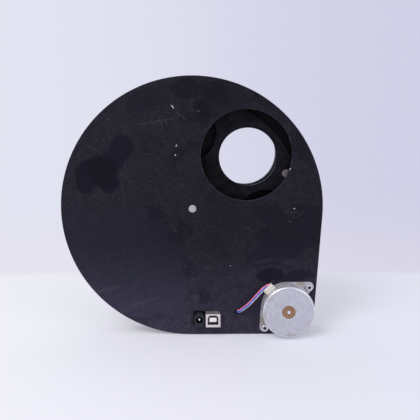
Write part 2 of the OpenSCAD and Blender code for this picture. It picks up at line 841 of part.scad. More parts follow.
module controller_board() {
  stand() color("#1f5a36") difference() {
    block(board_at, [board_w, board_h], board_foot, board_top);
    for (at = board_screw_places())
      hole(at, board_screw_r + screw_gap, board_foot - cut, board_top + cut);
  }
}

module board_standoffs() {
  stand() color("#b9bbc0")
    for (at = board_screw_places())
      translate([at.x, at.y, 0]) ring(2.2, board_screw_r + screw_gap, board_top, -floor_t);
}

module board_screws() {
  stand() color("#cfcfd3")
    for (at = board_screw_places())
      translate([at.x, at.y, board_foot]) rotate([180, 0, 0])
        cap_screw(board_screw_r, board_t + standoff_h + floor_t - 0.6, 1.9, board_screw_head_h);
}

// The mouth of the data socket: a square with its two upper corners cut off
module usb_mouth(grow) {
  w = usb_mouth_w / 2 + grow;
  h = usb_mouth_h / 2 + grow;
  corner = 1.6;
  translate([0, usb_mouth_lift])
    polygon([[-w, -h], [w, -h], [w, h - corner], [w - corner, h], [corner - w, h], [-w, h - corner]]);
}

module usb_shell() {
  inner = [usb_w, usb_h] - 2 * [usb_shell_t, usb_shell_t];
  stand() color("#d9d6d0") translate([each usb_at, 0]) difference() {
    block(-[usb_w, usb_h] / 2, [usb_w, usb_h], board_top, usb_proud);
    block(-inner / 2, inner, board_top - cut, usb_proud - usb_shell_t);
    linear_extrude(usb_proud + cut) usb_mouth(0);
  }
}

// White insulator with the tongue that carries the contacts
module usb_insulator() {
  fit = usb_shell_t + seat_gap;
  body = [usb_w, usb_h] - 2 * [fit, fit];
  mouth_floor = usb_proud - usb_mouth_depth;
  stand() color("#f0eeea") translate([each usb_at, 0]) {
    difference() {
      block(-body / 2, body, board_top, usb_proud - usb_shell_t - seat_gap);
      translate([0, 0, mouth_floor]) linear_extrude(usb_mouth_depth) usb_mouth(0);
    }
    difference() {
      block([-usb_tongue_w / 2, usb_mouth_lift - usb_tongue_h / 2], [usb_tongue_w, usb_tongue_h],
            mouth_floor - cut, usb_proud - 0.8);
      usb_contact_slots(seat_gap);
    }
  }
}

// Space of the four contacts, on both faces of the tongue
module usb_contact_slots(grow) {
  for (i = [-1, 1]) for (side = [-1, 1])
    translate([i * 1.25, usb_mouth_lift + side * (usb_tongue_h / 2 - 0.1), usb_proud - usb_mouth_depth])
      translate([-0.5 - grow, -0.2 - grow, 0]) cube([1 + 2 * grow, 0.4 + 2 * grow, 7]);
}

module usb_contacts() {
  stand() color("#d2a840") translate([each usb_at, 0]) usb_contact_slots(0);
}

// Power jack: a block with an arched back and a deep round hole
module jack_body() {
  stand() color("#1b1b1d") translate([each jack_at, 0]) difference() {
    translate([0, 0, board_top]) linear_extrude(jack_proud - board_top) union() {
      translate([0, jack_arch_lift]) circle(jack_arch_r);
      translate([-jack_w / 2, -jack_foot]) square([jack_w, jack_foot + jack_arch_lift]);
    }
    hole([0, 0], jack_hole_r, jack_proud - jack_hole_depth, jack_proud + cut);
    hole([0, 0], jack_pin_r + seat_gap, board_top + cut, jack_proud);
    jack_spring_space(seat_gap);
  }
}

module jack_pin() {
  stand() color("#d8d8d8") translate([each jack_at, 0])
    hole([0, 0], jack_pin_r, board_top + cut, jack_proud - 1.2);
}

// Slot beside the hole for the contact that presses on the plug's sleeve
module jack_spring_space(grow) {
  translate([-1 - grow, -jack_hole_r - 0.5 - grow, jack_proud - jack_hole_depth])
    cube([2 + 2 * grow, 0.6 + grow, 6]);
}

module jack_spring() {
  stand() color("#c9c3b4") translate([each jack_at, 0]) difference() {
    jack_spring_space(0);
    hole([0, 0], jack_hole_r - run_gap, jack_proud - jack_hole_depth - cut, jack_proud);
  }
}

module lead_header() {
  stand() color("#e4dcc8") translate([each lead_hole_at, 0])
    block(-header_size / 2, header_size, board_top, board_top + header_size.z);
}

// Processor, motor driver and data interface chips: place from the board's upper left corner
// to the chip's own lower left one, and size
module board_chips() {
  chips = [
    [[6, -30], [10, 10], 1.5],
    [[24, -26], [7.5, 12], 2.4],
    [[26, -36.5], [5, 6], 1.6]
  ];
  stand() color("#202022")
    for (c = chips) block(board_corner + c[0], c[1], board_top, board_top + c[2]);
}

module board_capacitors() {
  stand() color("#c9a227")
    for (at = [[38, -30], [38, -23], [18, -37]])
      block(board_corner + at, capacitor_size, board_top, board_top + capacitor_size.z);
}

module board_crystal() {
  end_r = crystal_size.y / 2;
  stand() color("#c4c4c8") translate([each (board_corner + [7, -16]), 0]) {
    block([end_r, 0], crystal_size, board_top, board_top + crystal_size.z);
    for (x = [end_r, end_r + crystal_size.x])
      hole([x, end_r], end_r, board_top, board_top + crystal_size.z);
  }
}

module voltage_regulator() {
  stand() color("#252527") translate([each (board_corner + [24, -10.5]), 0]) {
    block([0, 0], regulator_size, board_top, board_top + regulator_size.z);
    block([0.6, regulator_size.y], [regulator_size.x - 1.2, 1], board_top, board_top + 0.5);
  }
}

// Magnetic sensor under the board, on the magnet's circle
module hall_sensor() {
  at = polar(magnet_pitch_r, hall_angle);
  stand() color("#202022")
    block(at - [1.5, 1], [3, 2], board_foot - 1.5, board_foot);
}

rear_housing();
front_cover();
cover_screws();
axle();
axle_screw();
axle_shim();
bearing_inner_races();
bearing_outer_races();
bearing_balls();
bearing_cages();
wheel_hub();
hub_screws();
filter_wheel();
index_magnet();
drive_belt();
drive_pulley();
pulley_set_screw();
motor_can();
motor_flange();
motor_screws();
motor_rear_bush();
motor_front_bush();
motor_shaft();
motor_rotor();
stator_coils();
stator_poles();
motor_socket();
lead_plug();
lead_red();
lead_blue();
lead_white();
lead_yellow();
controller_board();
board_standoffs();
board_screws();
usb_shell();
usb_insulator();
usb_contacts();
jack_body();
jack_pin();
jack_spring();
lead_header();
board_chips();
board_capacitors();
board_crystal();
voltage_regulator();
hall_sensor();
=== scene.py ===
import json
import math

import bmesh
import bpy
from mathutils import Matrix, Quaternion, Vector
from mathutils.geometry import delaunay_2d_cdt


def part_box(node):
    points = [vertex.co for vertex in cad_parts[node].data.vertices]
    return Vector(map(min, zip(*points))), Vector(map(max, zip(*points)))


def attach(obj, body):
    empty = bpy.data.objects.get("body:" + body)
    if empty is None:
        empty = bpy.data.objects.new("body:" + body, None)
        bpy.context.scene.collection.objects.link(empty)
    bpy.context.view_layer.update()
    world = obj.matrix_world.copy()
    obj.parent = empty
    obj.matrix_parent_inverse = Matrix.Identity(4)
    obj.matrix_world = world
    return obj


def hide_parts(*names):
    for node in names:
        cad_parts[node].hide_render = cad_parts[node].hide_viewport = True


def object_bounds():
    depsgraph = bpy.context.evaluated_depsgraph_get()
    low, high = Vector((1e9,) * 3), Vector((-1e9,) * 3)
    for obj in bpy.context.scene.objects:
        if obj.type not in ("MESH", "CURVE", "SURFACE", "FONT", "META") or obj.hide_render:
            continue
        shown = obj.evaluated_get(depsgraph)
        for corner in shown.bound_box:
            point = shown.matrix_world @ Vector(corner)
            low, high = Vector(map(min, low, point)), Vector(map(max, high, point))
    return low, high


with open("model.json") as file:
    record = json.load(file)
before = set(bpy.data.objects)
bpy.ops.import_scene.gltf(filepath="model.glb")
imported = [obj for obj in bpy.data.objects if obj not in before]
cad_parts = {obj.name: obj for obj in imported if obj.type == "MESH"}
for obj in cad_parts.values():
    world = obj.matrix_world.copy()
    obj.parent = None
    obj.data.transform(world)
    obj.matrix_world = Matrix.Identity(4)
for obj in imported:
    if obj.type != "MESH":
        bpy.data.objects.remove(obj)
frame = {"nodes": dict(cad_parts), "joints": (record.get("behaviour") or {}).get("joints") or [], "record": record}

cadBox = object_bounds()

# every piece is drawn flat, in millimetres: x right, y up, z out of the camera-side face,
# measured from the wheel's axis; flatToRow stands it up in the frame
mm = 0.001
weld = 1e-5
wornReach = 1.6
centre = Vector((0, 0))
joint = {j["name"]: j for j in frame["joints"]}
mount = {m["name"]: m for m in frame["record"]["mounts"]}
wheelAxis = Vector(joint["wheel_spin"]["pos_m"])
motorAxis = Vector(joint["motor_spin"]["pos_m"])
flatToRow = (Matrix.Translation((wheelAxis.x, 0, wheelAxis.z))
             @ Matrix.Rotation(math.radians(90), 4, "X") @ Matrix.Scale(mm, 4))
driveAt = Vector((motorAxis.x - wheelAxis.x, motorAxis.z - wheelAxis.z)) / mm
portAt = Vector((-wheelAxis.x, -wheelAxis.z)) / mm


def flatBox(node):
    low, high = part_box(node)
    return (Vector((low.x - wheelAxis.x, low.z - wheelAxis.z, -high.y)) / mm,
            Vector((high.x - wheelAxis.x, high.z - wheelAxis.z, -low.y)) / mm)


def middles(node):
    # the flat middle of each loose solid in a CAD node
    bm = bmesh.new()
    bm.from_mesh(frame["nodes"][node].data)
    bmesh.ops.remove_doubles(bm, verts=bm.verts, dist=1e-7)
    bm.transform(flatToRow.inverted())
    waiting = set(bm.verts)
    found = []
    while waiting:
        group, edge = [], [waiting.pop()]
        while edge:
            vert = edge.pop()
            group.append(vert.co.copy())
            near = {link.other_vert(vert) for link in vert.link_edges} & waiting
            waiting -= near
            edge += near
        found.append([Vector([pick(c[i] for c in group) for i in range(3)]) for pick in (min, max)])
    bm.free()
    found.sort(key=lambda box: tuple(round(v, 2) for v in box[0]))
    return [((low + high) / 2).to_2d() for low, high in found]


def polar(r, degrees):
    return Vector((r * math.cos(math.radians(degrees)), r * math.sin(math.radians(degrees))))


def bearing(spot):
    return math.degrees(math.atan2(spot[1], spot[0]))


# outlines, all counter-clockwise
def arc(at, r, start, end, steps):
    return [at + polar(r, start + (end - start) * i / steps) for i in range(steps + 1)]


def circle(at, r, steps=64):
    return arc(at, r, 0, 360, steps)[:-1]


def tangentPair(nearR, at, farR, steps=300):
    # two circles and the straight sides that touch both
    spread = math.degrees(math.acos((nearR - farR) / at.length))
    start, end = bearing(at) - spread, bearing(at) + spread
    return arc(at, farR, start, end, steps // 4) + arc(centre, nearR, end, start + 360, steps)


def roundedBlock(low, size, r, steps=5):
    corners = [(size[0] - r, r, -90), (size[0] - r, size[1] - r, 0), (r, size[1] - r, 90), (r, r, 180)]
    return [p for x, y, a in corners for p in arc(low + Vector((x, y)), r, a, a + 90, steps)]


def around(points):
    # each point of a closed outline, with the one before it and the one after
    return [(points[i - 1], point, points[(i + 1) % len(points)]) for i, point in enumerate(points)]


# walls, caps and lathe work: edgeWear is 1 on a rubbed edge, grime is 1 deep in a recess, where shade is painted
# near black
def newShape():
    bm = bmesh.new()
    bm.faces.layers.float.new("edgeWear")
    bm.faces.layers.float.new("grime")
    bm.faces.layers.int.new("flatFace")
    return bm


def roundEdge(level, width, toward, steps=3):
    # rows of (inset, level, wear) from a flat face over its rounded edge onto the wall
    turns = [math.pi / 2 * i / steps for i in range(steps + 1)]
    rows = [(width * (1 - math.sin(a)), level + toward * width * (1 - math.cos(a)), 1.0) for a in turns]
    return rows + [(0, level + toward * width * wornReach, 0.0)]


def skin(bm, low, high, wear):
    # the faces between two rings, of which one may be a single point
    layer = bm.faces.layers.float["edgeWear"]
    steps = max(len(low), len(high))
    for i in range(steps):
        j = (i + 1) % steps
        corners = [low[i % len(low)], low[j % len(low)], high[j % len(high)], high[i % len(high)]]
        corners = [v for k, v in enumerate(corners) if v not in corners[:k]]
        if len(corners) > 2:
            bm.faces.new(corners)[layer] = wear


def wall(bm, outline, rows, hole=False):
    # a wall that follows an outline; each row moves it into the material and along z
    inward = []
    for last, point, following in around(outline):
        before, after = (point - last).normalized(), (following - point).normalized()
        n = Vector((before.y + after.y, -before.x - after.x)) / max(0.3, 1 + before.dot(after))
        inward.append(n if hole else -n)
    rings = [[bm.verts.new((*(p + row[0] * n), row[1])) for p, n in zip(outline, inward)] for row in rows]
    for k in range(len(rows) - 1):
        skin(bm, rings[k], rings[k + 1], (rows[k][2] + rows[k + 1][2]) / 2)
    return rings[0], rings[-1]


def within(spot, ring):
    # whether a spot lies inside a ring of vertices
    inside = False
    for i, vert in enumerate(ring):
        a, b = vert.co, ring[i - 1].co
        if (a.y > spot.y) != (b.y > spot.y) and spot.x < (b.x - a.x) * (spot.y - a.y) / (b.y - a.y) + a.x:
            inside = not inside
    return inside


def cap(bm, *rings):
    # the flat face between an outer ring, named first, and the rings of its holes
    corners = [vert for ring in rings for vert in ring]
    owner = [k for k, ring in enumerate(rings) for vert in ring]
    edges, start = [], 0
    for ring in rings:
        edges += [(start + i, start + (i + 1) % len(ring)) for i in range(len(ring))]
        start += len(ring)
    made = delaunay_2d_cdt([vert.co.to_2d() for vert in corners], edges, [], 1, 1e-7)
    flat = bm.faces.layers.int["flatFace"]
    for face in made[2]:
        picked = [made[3][i][0] for i in face]
        home = {owner[i] for i in picked}
        spot = sum((corners[i].co for i in picked), Vector()) / 3
        if len(home) == 1 and within(spot, rings[min(home)]) != (min(home) == 0):
            continue
        bm.faces.new([corners[i] for i in picked])[flat] = 1


def paintShade(bm, at, reach, level, amount, toward=-1):
    # painted shade on the faces round a place that lie past a level
    layer = bm.faces.layers.float["grime"]
    for face in bm.faces:
        x, y, z = face.calc_center_median()
        if abs(x - at[0]) < reach[0] and abs(y - at[1]) < reach[1] and (z - level) * toward > 0:
            face[layer] = amount


def lathe(bm, rows, at=centre, steps=96, closed=True):
    # rows of (radius, level, wear, depth of the knurl) turned about an upright axis
    rows = [(*row, 0.0, 0.0)[:4] for row in rows]
    rings = []
    for r, level, worn, knurl in rows:
        spots = [at + polar(r - knurl * (i % 4 > 1), 360 * i / steps) for i in range(steps)]
        rings.append([bm.verts.new((*p, level)) for p in (spots if r > 1e-6 else [at])])
    for k in range(len(rows) if closed else len(rows) - 1):
        n = (k + 1) % len(rows)
        skin(bm, rings[k], rings[n], (rows[k][2] + rows[n][2]) / 2)
    return rings


def block(bm, low, high, r=0.3, turn=0.0, at=centre):
    # a block with rounded edges, turned about z and moved to its place
    made = bmesh.ops.create_cube(bm, size=1)
    size = Vector(high) - Vector(low)
    place = (Matrix.Translation((*at, 0)) @ Matrix.Rotation(math.radians(turn), 4, "Z")
             @ Matrix.Translation((Vector(low) + Vector(high)) / 2) @ Matrix.Diagonal((*size, 1)))
    bmesh.ops.transform(bm, matrix=place, verts=made["verts"])
    edges = list({e for v in made["verts"] for e in v.link_edges})
    offset = min(r, min(size) * 0.45)
    bmesh.ops.bevel(bm, geom=edges, offset=offset, segments=3, profile=0.5, affect="EDGES")


# from shapes to pieces
def newObject(name, data):
    item = bpy.data.objects.new(name, data)
    bpy.context.scene.collection.objects.link(item)
    return item


def plainMesh(name, bm):
    mesh = bpy.data.meshes.new(name)
    bm.to_mesh(mesh)
    bm.free()
    return mesh


def settle(piece, node, body="housing"):
    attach(piece, body)
    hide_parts(node)
    print("made", piece.name, len(piece.data.polygons), "faces")


def finishMesh(bm, mesh, sharp=33, place=flatToRow):
    # merges, turns the faces outwards, marks the sharp edges and stands the mesh up
    bmesh.ops.remove_doubles(bm, verts=bm.verts, dist=weld)
    bmesh.ops.dissolve_degenerate(bm, edges=bm.edges, dist=1e-6)
    bmesh.ops.recalc_face_normals(bm, faces=bm.faces)
    flat = bm.faces.layers.int.get("flatFace")
    for edge in bm.edges:
        faces = edge.link_faces
        pair = len(faces) == 2
        edge.smooth = not pair or edge.calc_face_angle(0) < math.radians(sharp)
        if flat and pair and faces[0][flat] != faces[1][flat]:
            edge.smooth = False
    for face in bm.faces:
        face.smooth = True
    if flat:
        bm.faces.layers.int.remove(flat)
    bm.transform(place)
    bm.to_mesh(mesh)
    bm.free()
    return mesh


def finishPiece(name, bm, material, node, body="housing", sharp=33):
    mesh = finishMesh(bm, bpy.data.meshes.new(name), sharp)
    mesh.materials.append(finish[material])
    settle(newObject(name, mesh), node, body)


def turnedPiece(name, rows, at, steps, material, node, body="housing"):
    bm = newShape()
    lathe(bm, rows, at, steps)
    finishPiece(name, bm, material, node, body)


# node trees
def feed(item, inputs):
    # links or sets the inputs of a node
    for key, value in inputs.items():
        value = getattr(value, "socket", value)
        if isinstance(value, bpy.types.NodeSocket):
            item.id_data.links.new(value, item.inputs[key])
        else:
            item.inputs[key].default_value = value


def addNode(tree, kind, inputs, **settings):
    item = tree.nodes.new(kind)
    for key, value in settings.items():
        setattr(item, key, value)
    feed(item, inputs)
    return item.outputs


def shapeTree(name, inputs):
    tree = bpy.data.node_groups.new(name, "GeometryNodeTree")
    for label, kind in {"Geometry": "Geometry", **inputs}.items():
        tree.interface.new_socket(label, in_out="INPUT", socket_type="NodeSocket" + kind)
    tree.interface.new_socket("Geometry", in_out="OUTPUT", socket_type="NodeSocketGeometry")
    return tree, {socket.name: socket for socket in tree.nodes.new("NodeGroupInput").outputs}


def fromObject(tree, socket):
    return addNode(tree, "GeometryNodeObjectInfo", {"Object": socket})["Geometry"]


def endTree(tree, shape, material):
    # the last nodes of every tree: real geometry, with its material
    real = addNode(tree, "GeometryNodeRealizeInstances", {"Geometry": shape})[0]
    done = addNode(tree, "GeometryNodeSetMaterial", {"Geometry": real, "Material": material})[0]
    addNode(tree, "NodeGroupOutput", {0: done})
    return tree


def runTree(name, mesh, tree, values, sharp, node, body="housing"):
    # runs a tree on a mesh, and makes the result a finished piece
    piece = newObject(name, mesh)
    modifier = piece.modifiers.new(tree.name, "NODES")
    modifier.node_group = tree
    for item in tree.interface.items_tree:
        if item.item_type == "SOCKET" and item.in_out == "INPUT" and item.name in values:
            modifier[item.identifier] = values[item.name]
    bpy.context.view_layer.update()
    graph = bpy.context.evaluated_depsgraph_get()
    made = bpy.data.meshes.new_from_object(piece.evaluated_get(graph))
    piece.modifiers.remove(modifier)
    piece.data = made
    for value in values.values():
        if isinstance(value, bpy.types.Object):
            bpy.data.objects.remove(value)
    bm = bmesh.new()
    bm.from_mesh(made)
    finishMesh(bm, made, sharp)
    settle(piece, node, body)


def meshFrom(name, points, edges=()):
    mesh = bpy.data.meshes.new(name)
    mesh.from_pydata([tuple(p) for p in points], list(edges), [])
    return mesh


# shader nodes
class Wire:
    # an output that can be reckoned with like a number
    def __init__(self, socket):
        self.socket = socket

    def add(self, kind, inputs, out=0, **settings):
        # a new node beside this one, and one of its outputs
        return Wire(addNode(self.socket.id_data, "ShaderNode" + kind, inputs, **settings)[out])

    def calc(self, what, a, b=0.0):
        return self.add("Math", {0: a, 1: b}, operation=what)

    def vector(self, what, other, slot=1, out=0):
        return self.add("VectorMath", {0: self, slot: other}, out, operation=what)

    def __add__(self, other):
        return self.calc("ADD", self, other)

    def __sub__(self, other):
        return self.calc("SUBTRACT", self, other)

    def __rsub__(self, other):
        return self.calc("SUBTRACT", other, self)

    def __mul__(self, other):
        return self.calc("MULTIPLY", self, other)

    def most(self, other):
        return self.calc("MAXIMUM", self, other)

    def parts(self):
        return [Wire(socket) for socket in addNode(self.socket.id_data, "ShaderNodeSeparateXYZ", {0: self})]


def freshTree(owner):
    owner.use_nodes = True
    owner.node_tree.nodes.clear()
    return owner.node_tree


def coordinate(tree, kind):
    return Wire(addNode(tree, "ShaderNodeTexCoord", {})[kind])


def attribute(place, name):
    return place.add("Attribute", {}, "Fac", attribute_name=name)


def newFinish(name, at=centre):
    # the surface of a finish, and its place: x right, y into the housing, z up, in millimetres
    material = bpy.data.materials.new(name)
    tree = freshTree(material)
    finish[name] = material
    shader = tree.nodes.new("ShaderNodeBsdfPrincipled")
    addNode(tree, "ShaderNodeOutputMaterial", {"Surface": shader.outputs["BSDF"]})
    place = coordinate(tree, "Object")
    return shader, place.add("Mapping", {
        "Vector": place, "Scale": (1 / mm,) * 3,
        "Location": (-wheelAxis.x / mm - at[0], 0, -wheelAxis.z / mm - at[1])})


def noise(place, scale, detail=3.0, roughness=0.55, seed=0.0, out=0):
    return place.add("TexNoise", {
        "Vector": place, "W": seed, "Scale": scale, "Detail": detail, "Roughness": roughness},
        out, noise_dimensions="4D")


def fade(value, start, end, low=0.0, high=1.0):
    return value.add("MapRange", {
        "Value": value, "From Min": start, "From Max": end, "To Min": low, "To Max": high},
        interpolation_type="SMOOTHSTEP")


def blend(share, a, b):
    # from one colour to another
    a, b = [value if isinstance(value, Wire) else (*value, 1) for value in (a, b)]
    return share.add("Mix", {0: share, 6: a, 7: b}, 2, data_type="RGBA")


def cells(place, scale, channel=0, distance="EUCLIDEAN"):
    # a pattern of cells: how far the nearest middle is, and a random share for each cell
    made = addNode(place.socket.id_data, "ShaderNodeTexVoronoi", {"Vector": place, "Scale": scale},
                   feature="F1", distance=distance)
    return Wire(made["Distance"]), place.add("SeparateColor", {0: made["Color"]}, channel)


def radius(place):
    x, y, z = place.parts()
    squares = x.calc("POWER", x, 2.0) + z.calc("POWER", z, 2.0)
    return squares.calc("SQRT", squares)


def warped(place, amount, scale, seed):
    # a place shaken by noise, so that the marks get ragged edges
    shake = noise(place, scale, 3.0, 0.6, seed, 1)
    return place.vector("ADD", shake.vector("SUBTRACT", (0.5,) * 3).vector("SCALE", amount, "Scale"))


def makeMarkShape():
    # an oval mark with a soft edge, measured in the plane of the face
    group = bpy.data.node_groups.new("markShape", "ShaderNodeTree")
    for label, kind in (("Place", "Vector"), ("Centre", "Vector"), ("Size", "Vector"),
                        ("Turn", "Float"), ("Softness", "Float")):
        group.interface.new_socket(label, in_out="INPUT", socket_type="NodeSocket" + kind)
    group.interface.new_socket("Share", in_out="OUTPUT", socket_type="NodeSocketFloat")
    place, middle, size, turn, softness = [Wire(s) for s in group.nodes.new("NodeGroupInput").outputs][:5]
    away = place.vector("SUBTRACT", middle)
    turned = away.add("VectorRotate", {"Vector": away, "Angle": turn}, rotation_type="Y_AXIS")
    far = turned.vector("DIVIDE", size).vector("LENGTH", (0, 0, 0), out="Value")
    addNode(group, "NodeGroupOutput", {0: fade(far, 1.0 - softness, softness + 1.0, 1.0, 0.0)})
    return group


def marks(place, rows, softness):
    # the union of oval marks; a row is x, y, half width, half height, turn, strength
    total = None
    for x, y, wide, tall, turn, strength in rows:
        made = place.add("Group", {
            "Place": place, "Centre": (x, 0, y), "Size": (wide, 1e6, tall),
            "Turn": math.radians(turn), "Softness": softness}, node_tree=markShape) * strength
        total = total.most(made) if total else made
    return total


def endFinish(shader, height, strength, depth, inputs):
    # the last nodes of every finish
    uneven = height.add("Bump", {"Height": height, "Strength": strength, "Distance": depth})
    feed(shader, {"Normal": uneven, **inputs})


finish = {}
markShape = makeMarkShape()


# black anodised plate; in the lists of marks a row is x, y, half width, half height, turn, strength,
# and left and foot are how much paler it is painted to the left and towards the foot, as painted light
plateLook = {
    # patterns of noise: scale, detail, roughness
    "cloud": (0.02, 4, 0.6), "fine": (0.95, 4, 0.85), "blotch": (0.22, 4, 0.6), "rub": (0.16, 4, 0.7),
    "gaps": (0.9, 3, 0.7), "texture": (3.2, 3, 0.7),
    # how far and how finely the marks' edges are shaken, and how soft they are
    "farShake": (12, 0.05), "nearShake": (5, 0.2), "lineShake": (1.6, 0.35), "chipShake": (0.5, 1.1),
    "filmSoft": 0.1, "darkMarkSoft": 0.14, "lineSoft": 0.45, "chipSoft": 0.25,
    "dusty": (0.0132, 0.0112, 0.0188), "oiledAndShaded": (0.005, 0.0042, 0.011), "film": (0.0122, 0.0117, 0.0205),
    "worn": (0.055, 0.053, 0.064), "speck": (0.15, 0.13, 0.15), "chip": (0.5, 0.48, 0.5),
    "scratch": (0.075, 0.07, 0.08), "gloss": 0.08, "roughness": 0.55, "grain": 1.2, "tone": 0.78,
    "left": 0.0024, "foot": 1.7, "footFrom": -20, "footTo": -105,
    "darkMarks": [(-72, 30, 13.5, 12.5, 10, 1), (-67, 23, 9, 10, 0, 1), (-84, 26, 9, 13, 0, 0.9),
        (-55.6, 49, 10.5, 8.5, 25, 0.85), (-62, 41, 6, 8, 40, 0.9), (-28, -3.5, 7.5, 6.5, 0, 0.55),
        (-9.8, -20.4, 10.5, 7.5, 10, 0.5), (10.2, -70.6, 5, 7, 10, 0.55), (-0.9, -49.5, 8, 6, 0, 0.35),
        (60.6, -3.3, 13, 7.5, 0, 0.5), (78, -22, 27, 12, 0, 0.5), (66, -37, 23, 10, 12, 0.5),
        # the last two marks on the next row, just above the motor, are painted shadow of the motor
        (88, -10, 14, 14, 0, 0.45), (63.4, -55.1, 12, 5, 10, 0.95), (86, -55, 16, 4, 0, 0.75),
        (-5, 95, 12, 8, 0, 0.7), (18, 92, 14, 8, -20, 0.6), (-36, 86, 15, 9, 20, 0.45),
        (8, 76, 6, 12, 10, 0.7), (-2, 72, 8, 5, 10, 0.5), (-6, 47, 15, 4, 25, 0.45),
        (-16, 38, 8, 4, 40, 0.4), (88, 52, 9, 14, -35, 0.35), (60, 86, 14, 6, -35, 0.45)],
    "films": [(-78, -46, 35, 42, 25, 1), (-42, -58, 37, 34, 0, 1), (-50, -18, 30, 16, 0, 1),
        (-88, -14, 17, 17, 20, 1), (-22, -36, 15, 20, 0, 1), (-18, -68, 15, 15, 0, 1),
        (-14, -82, 8, 10, 0, 1), (-62, -4, 9, 7, 0, 1), (-45, -2, 9, 7, 0, 1), (-29, -4, 9, 9, 0, 1),
        (-17, -17, 8, 7, 0, 1), (-5, -48, 7, 6, 0, 0.8), (-72, 30, 13, 12, 10, 0.5),
        (60.6, -3.3, 13, 7.5, 0, 1), (78, -22, 27, 12, 0, 1), (56, -26, 9, 6, 0, 1),
        (66, -37, 23, 10, -12, 1), (52, -42, 8, 5, 0, 1), (88, -10, 14, 14, 0, 1), (88, 52, 9, 14, 35, 0.7),
        (30, 88, 30, 12, 20, 0.5)],
    "chips": [(-15.3, 80.7, 1.7, 0.3, -55, 1), (-12.5, 50.5, 0.35, 0.85, -12, 0.9),
        (-13.3, 43, 0.45, 0.6, 0, 0.9), (81.7, 0.1, 0.7, 0.35, 35, 0.8), (30.6, -46.5, 0.5, 0.65, 0, 0.4),
        (-6, -46.3, 0.5, 0.55, 0, 0.25), (78.5, -10.5, 0.6, 0.4, 30, 0.14),
        (4.8, 77.5, 1.2, 0.6, -30, 0.07), (77.8, 31.9, 0.35, 0.9, -20, 0.7), (-65.5, 71, 0.4, 0.4, 0, 0.15)],
    "scratches": [(-9.2, 74.2, 6.6, 0.2, -41, 0.8), (-50.6, 23.2, 11.5, 0.15, -51, 0.45),
        (-79.1, 49, 7.4, 0.15, -23, 0.5), (80.7, -2.9, 6.5, 0.3, -5, 0.45), (86.5, -4.4, 4, 0.3, 40, 0.55),
        (76, -4, 3, 0.25, -30, 0.45), (80, -6, 3, 0.25, -50, 0.4), (-28, 69.5, 15, 0.3, 9, 0.6),
        (-24, 67.5, 4.5, 0.35, -70, 0.6), (-31, 68.5, 3.5, 0.35, -60, 0.6), (-21, 70, 3.2, 0.3, -60, 0.6),
        (-27.5, 68, 3.5, 0.3, 60, 0.5), (-69, -66, 12, 1.7, 14, 0.26), (-42, -78, 14, 1.8, 20, 0.28),
        (-55, -84, 8, 2, 15, 0.2), (-15.5, -16, 3.5, 0.25, -60, 0.6), (-13.2, -17, 3.5, 0.25, -60, 0.6),
        (44.6, -15.5, 2.5, 0.6, -20, 0.3), (14, -14, 3, 0.3, -10, 0.25), (25, 20, 9, 0.15, 35, 0.2),
        (-60, 70, 8, 0.15, -60, 0.2), (50, -70, 5, 0.15, -20, 0.2), (58, -43, 10, 1.2, 12, 0.2),
        (80, -44, 9, 2.5, -10, 0.12)],
}
fineBump = 0.00005
coverLook = dict(
    plateLook,
    # the face that looks into the housing is painted darker, as painted shade
    tone=1.1, left=0, foot=0.3, gloss=0.12, shadedInnerFace=19.05, dusty=(0.0135, 0.0122, 0.019),
    darkMarks=[(-40, 30, 26, 18, 20, 0.5), (30, -50, 30, 16, -15, 0.45), (-60, -50, 18, 24, 0, 0.4),
        (60, 20, 14, 22, 10, 0.4)],
    films=[(-20, -40, 30, 26, 30, 0.8), (50, 60, 24, 18, 0, 0.7)],
    chips=[(70, -60, 0.9, 0.5, 20, 0.7), (-88, 30, 0.8, 0.6, 0, 0.6)],
    scratches=[(-30, -20, 22, 0.14, 35, 0.5), (20, 60, 16, 0.13, -50, 0.45), (-66, 40, 9, 0.2, 75, 0.4),
        (50, -30, 12, 0.16, 10, 0.45)],
)
wheelLook = dict(
    plateLook,
    tone=1, left=0, foot=0, grain=0.3, gloss=0.045, roughness=0.46, worn=(0.02, 0.02, 0.026),
    speck=(0.03, 0.03, 0.034), dusty=(0.003, 0.003, 0.0056), film=(0.004, 0.0044, 0.008),
    oiledAndShaded=(0.0006, 0.0006, 0.0014),
    # the one dark mark is painted shadow, where the port's edge shades the wheel on its lower left
    darkMarks=[(20, 24, 26, 12, -46, 1)],
    films=[(60, 24, 16, 12, -40, 0.8), (-40, -30, 30, 20, 0, 0.8), (-50, 40, 20, 24, 0, 0.6)],
    chips=[],
    scratches=[(30, 70, 12, 0.15, 20, 0.3), (-40, -60, 20, 0.2, 35, 0.4), (60, -40, 14, 0.2, -60, 0.4)],
)


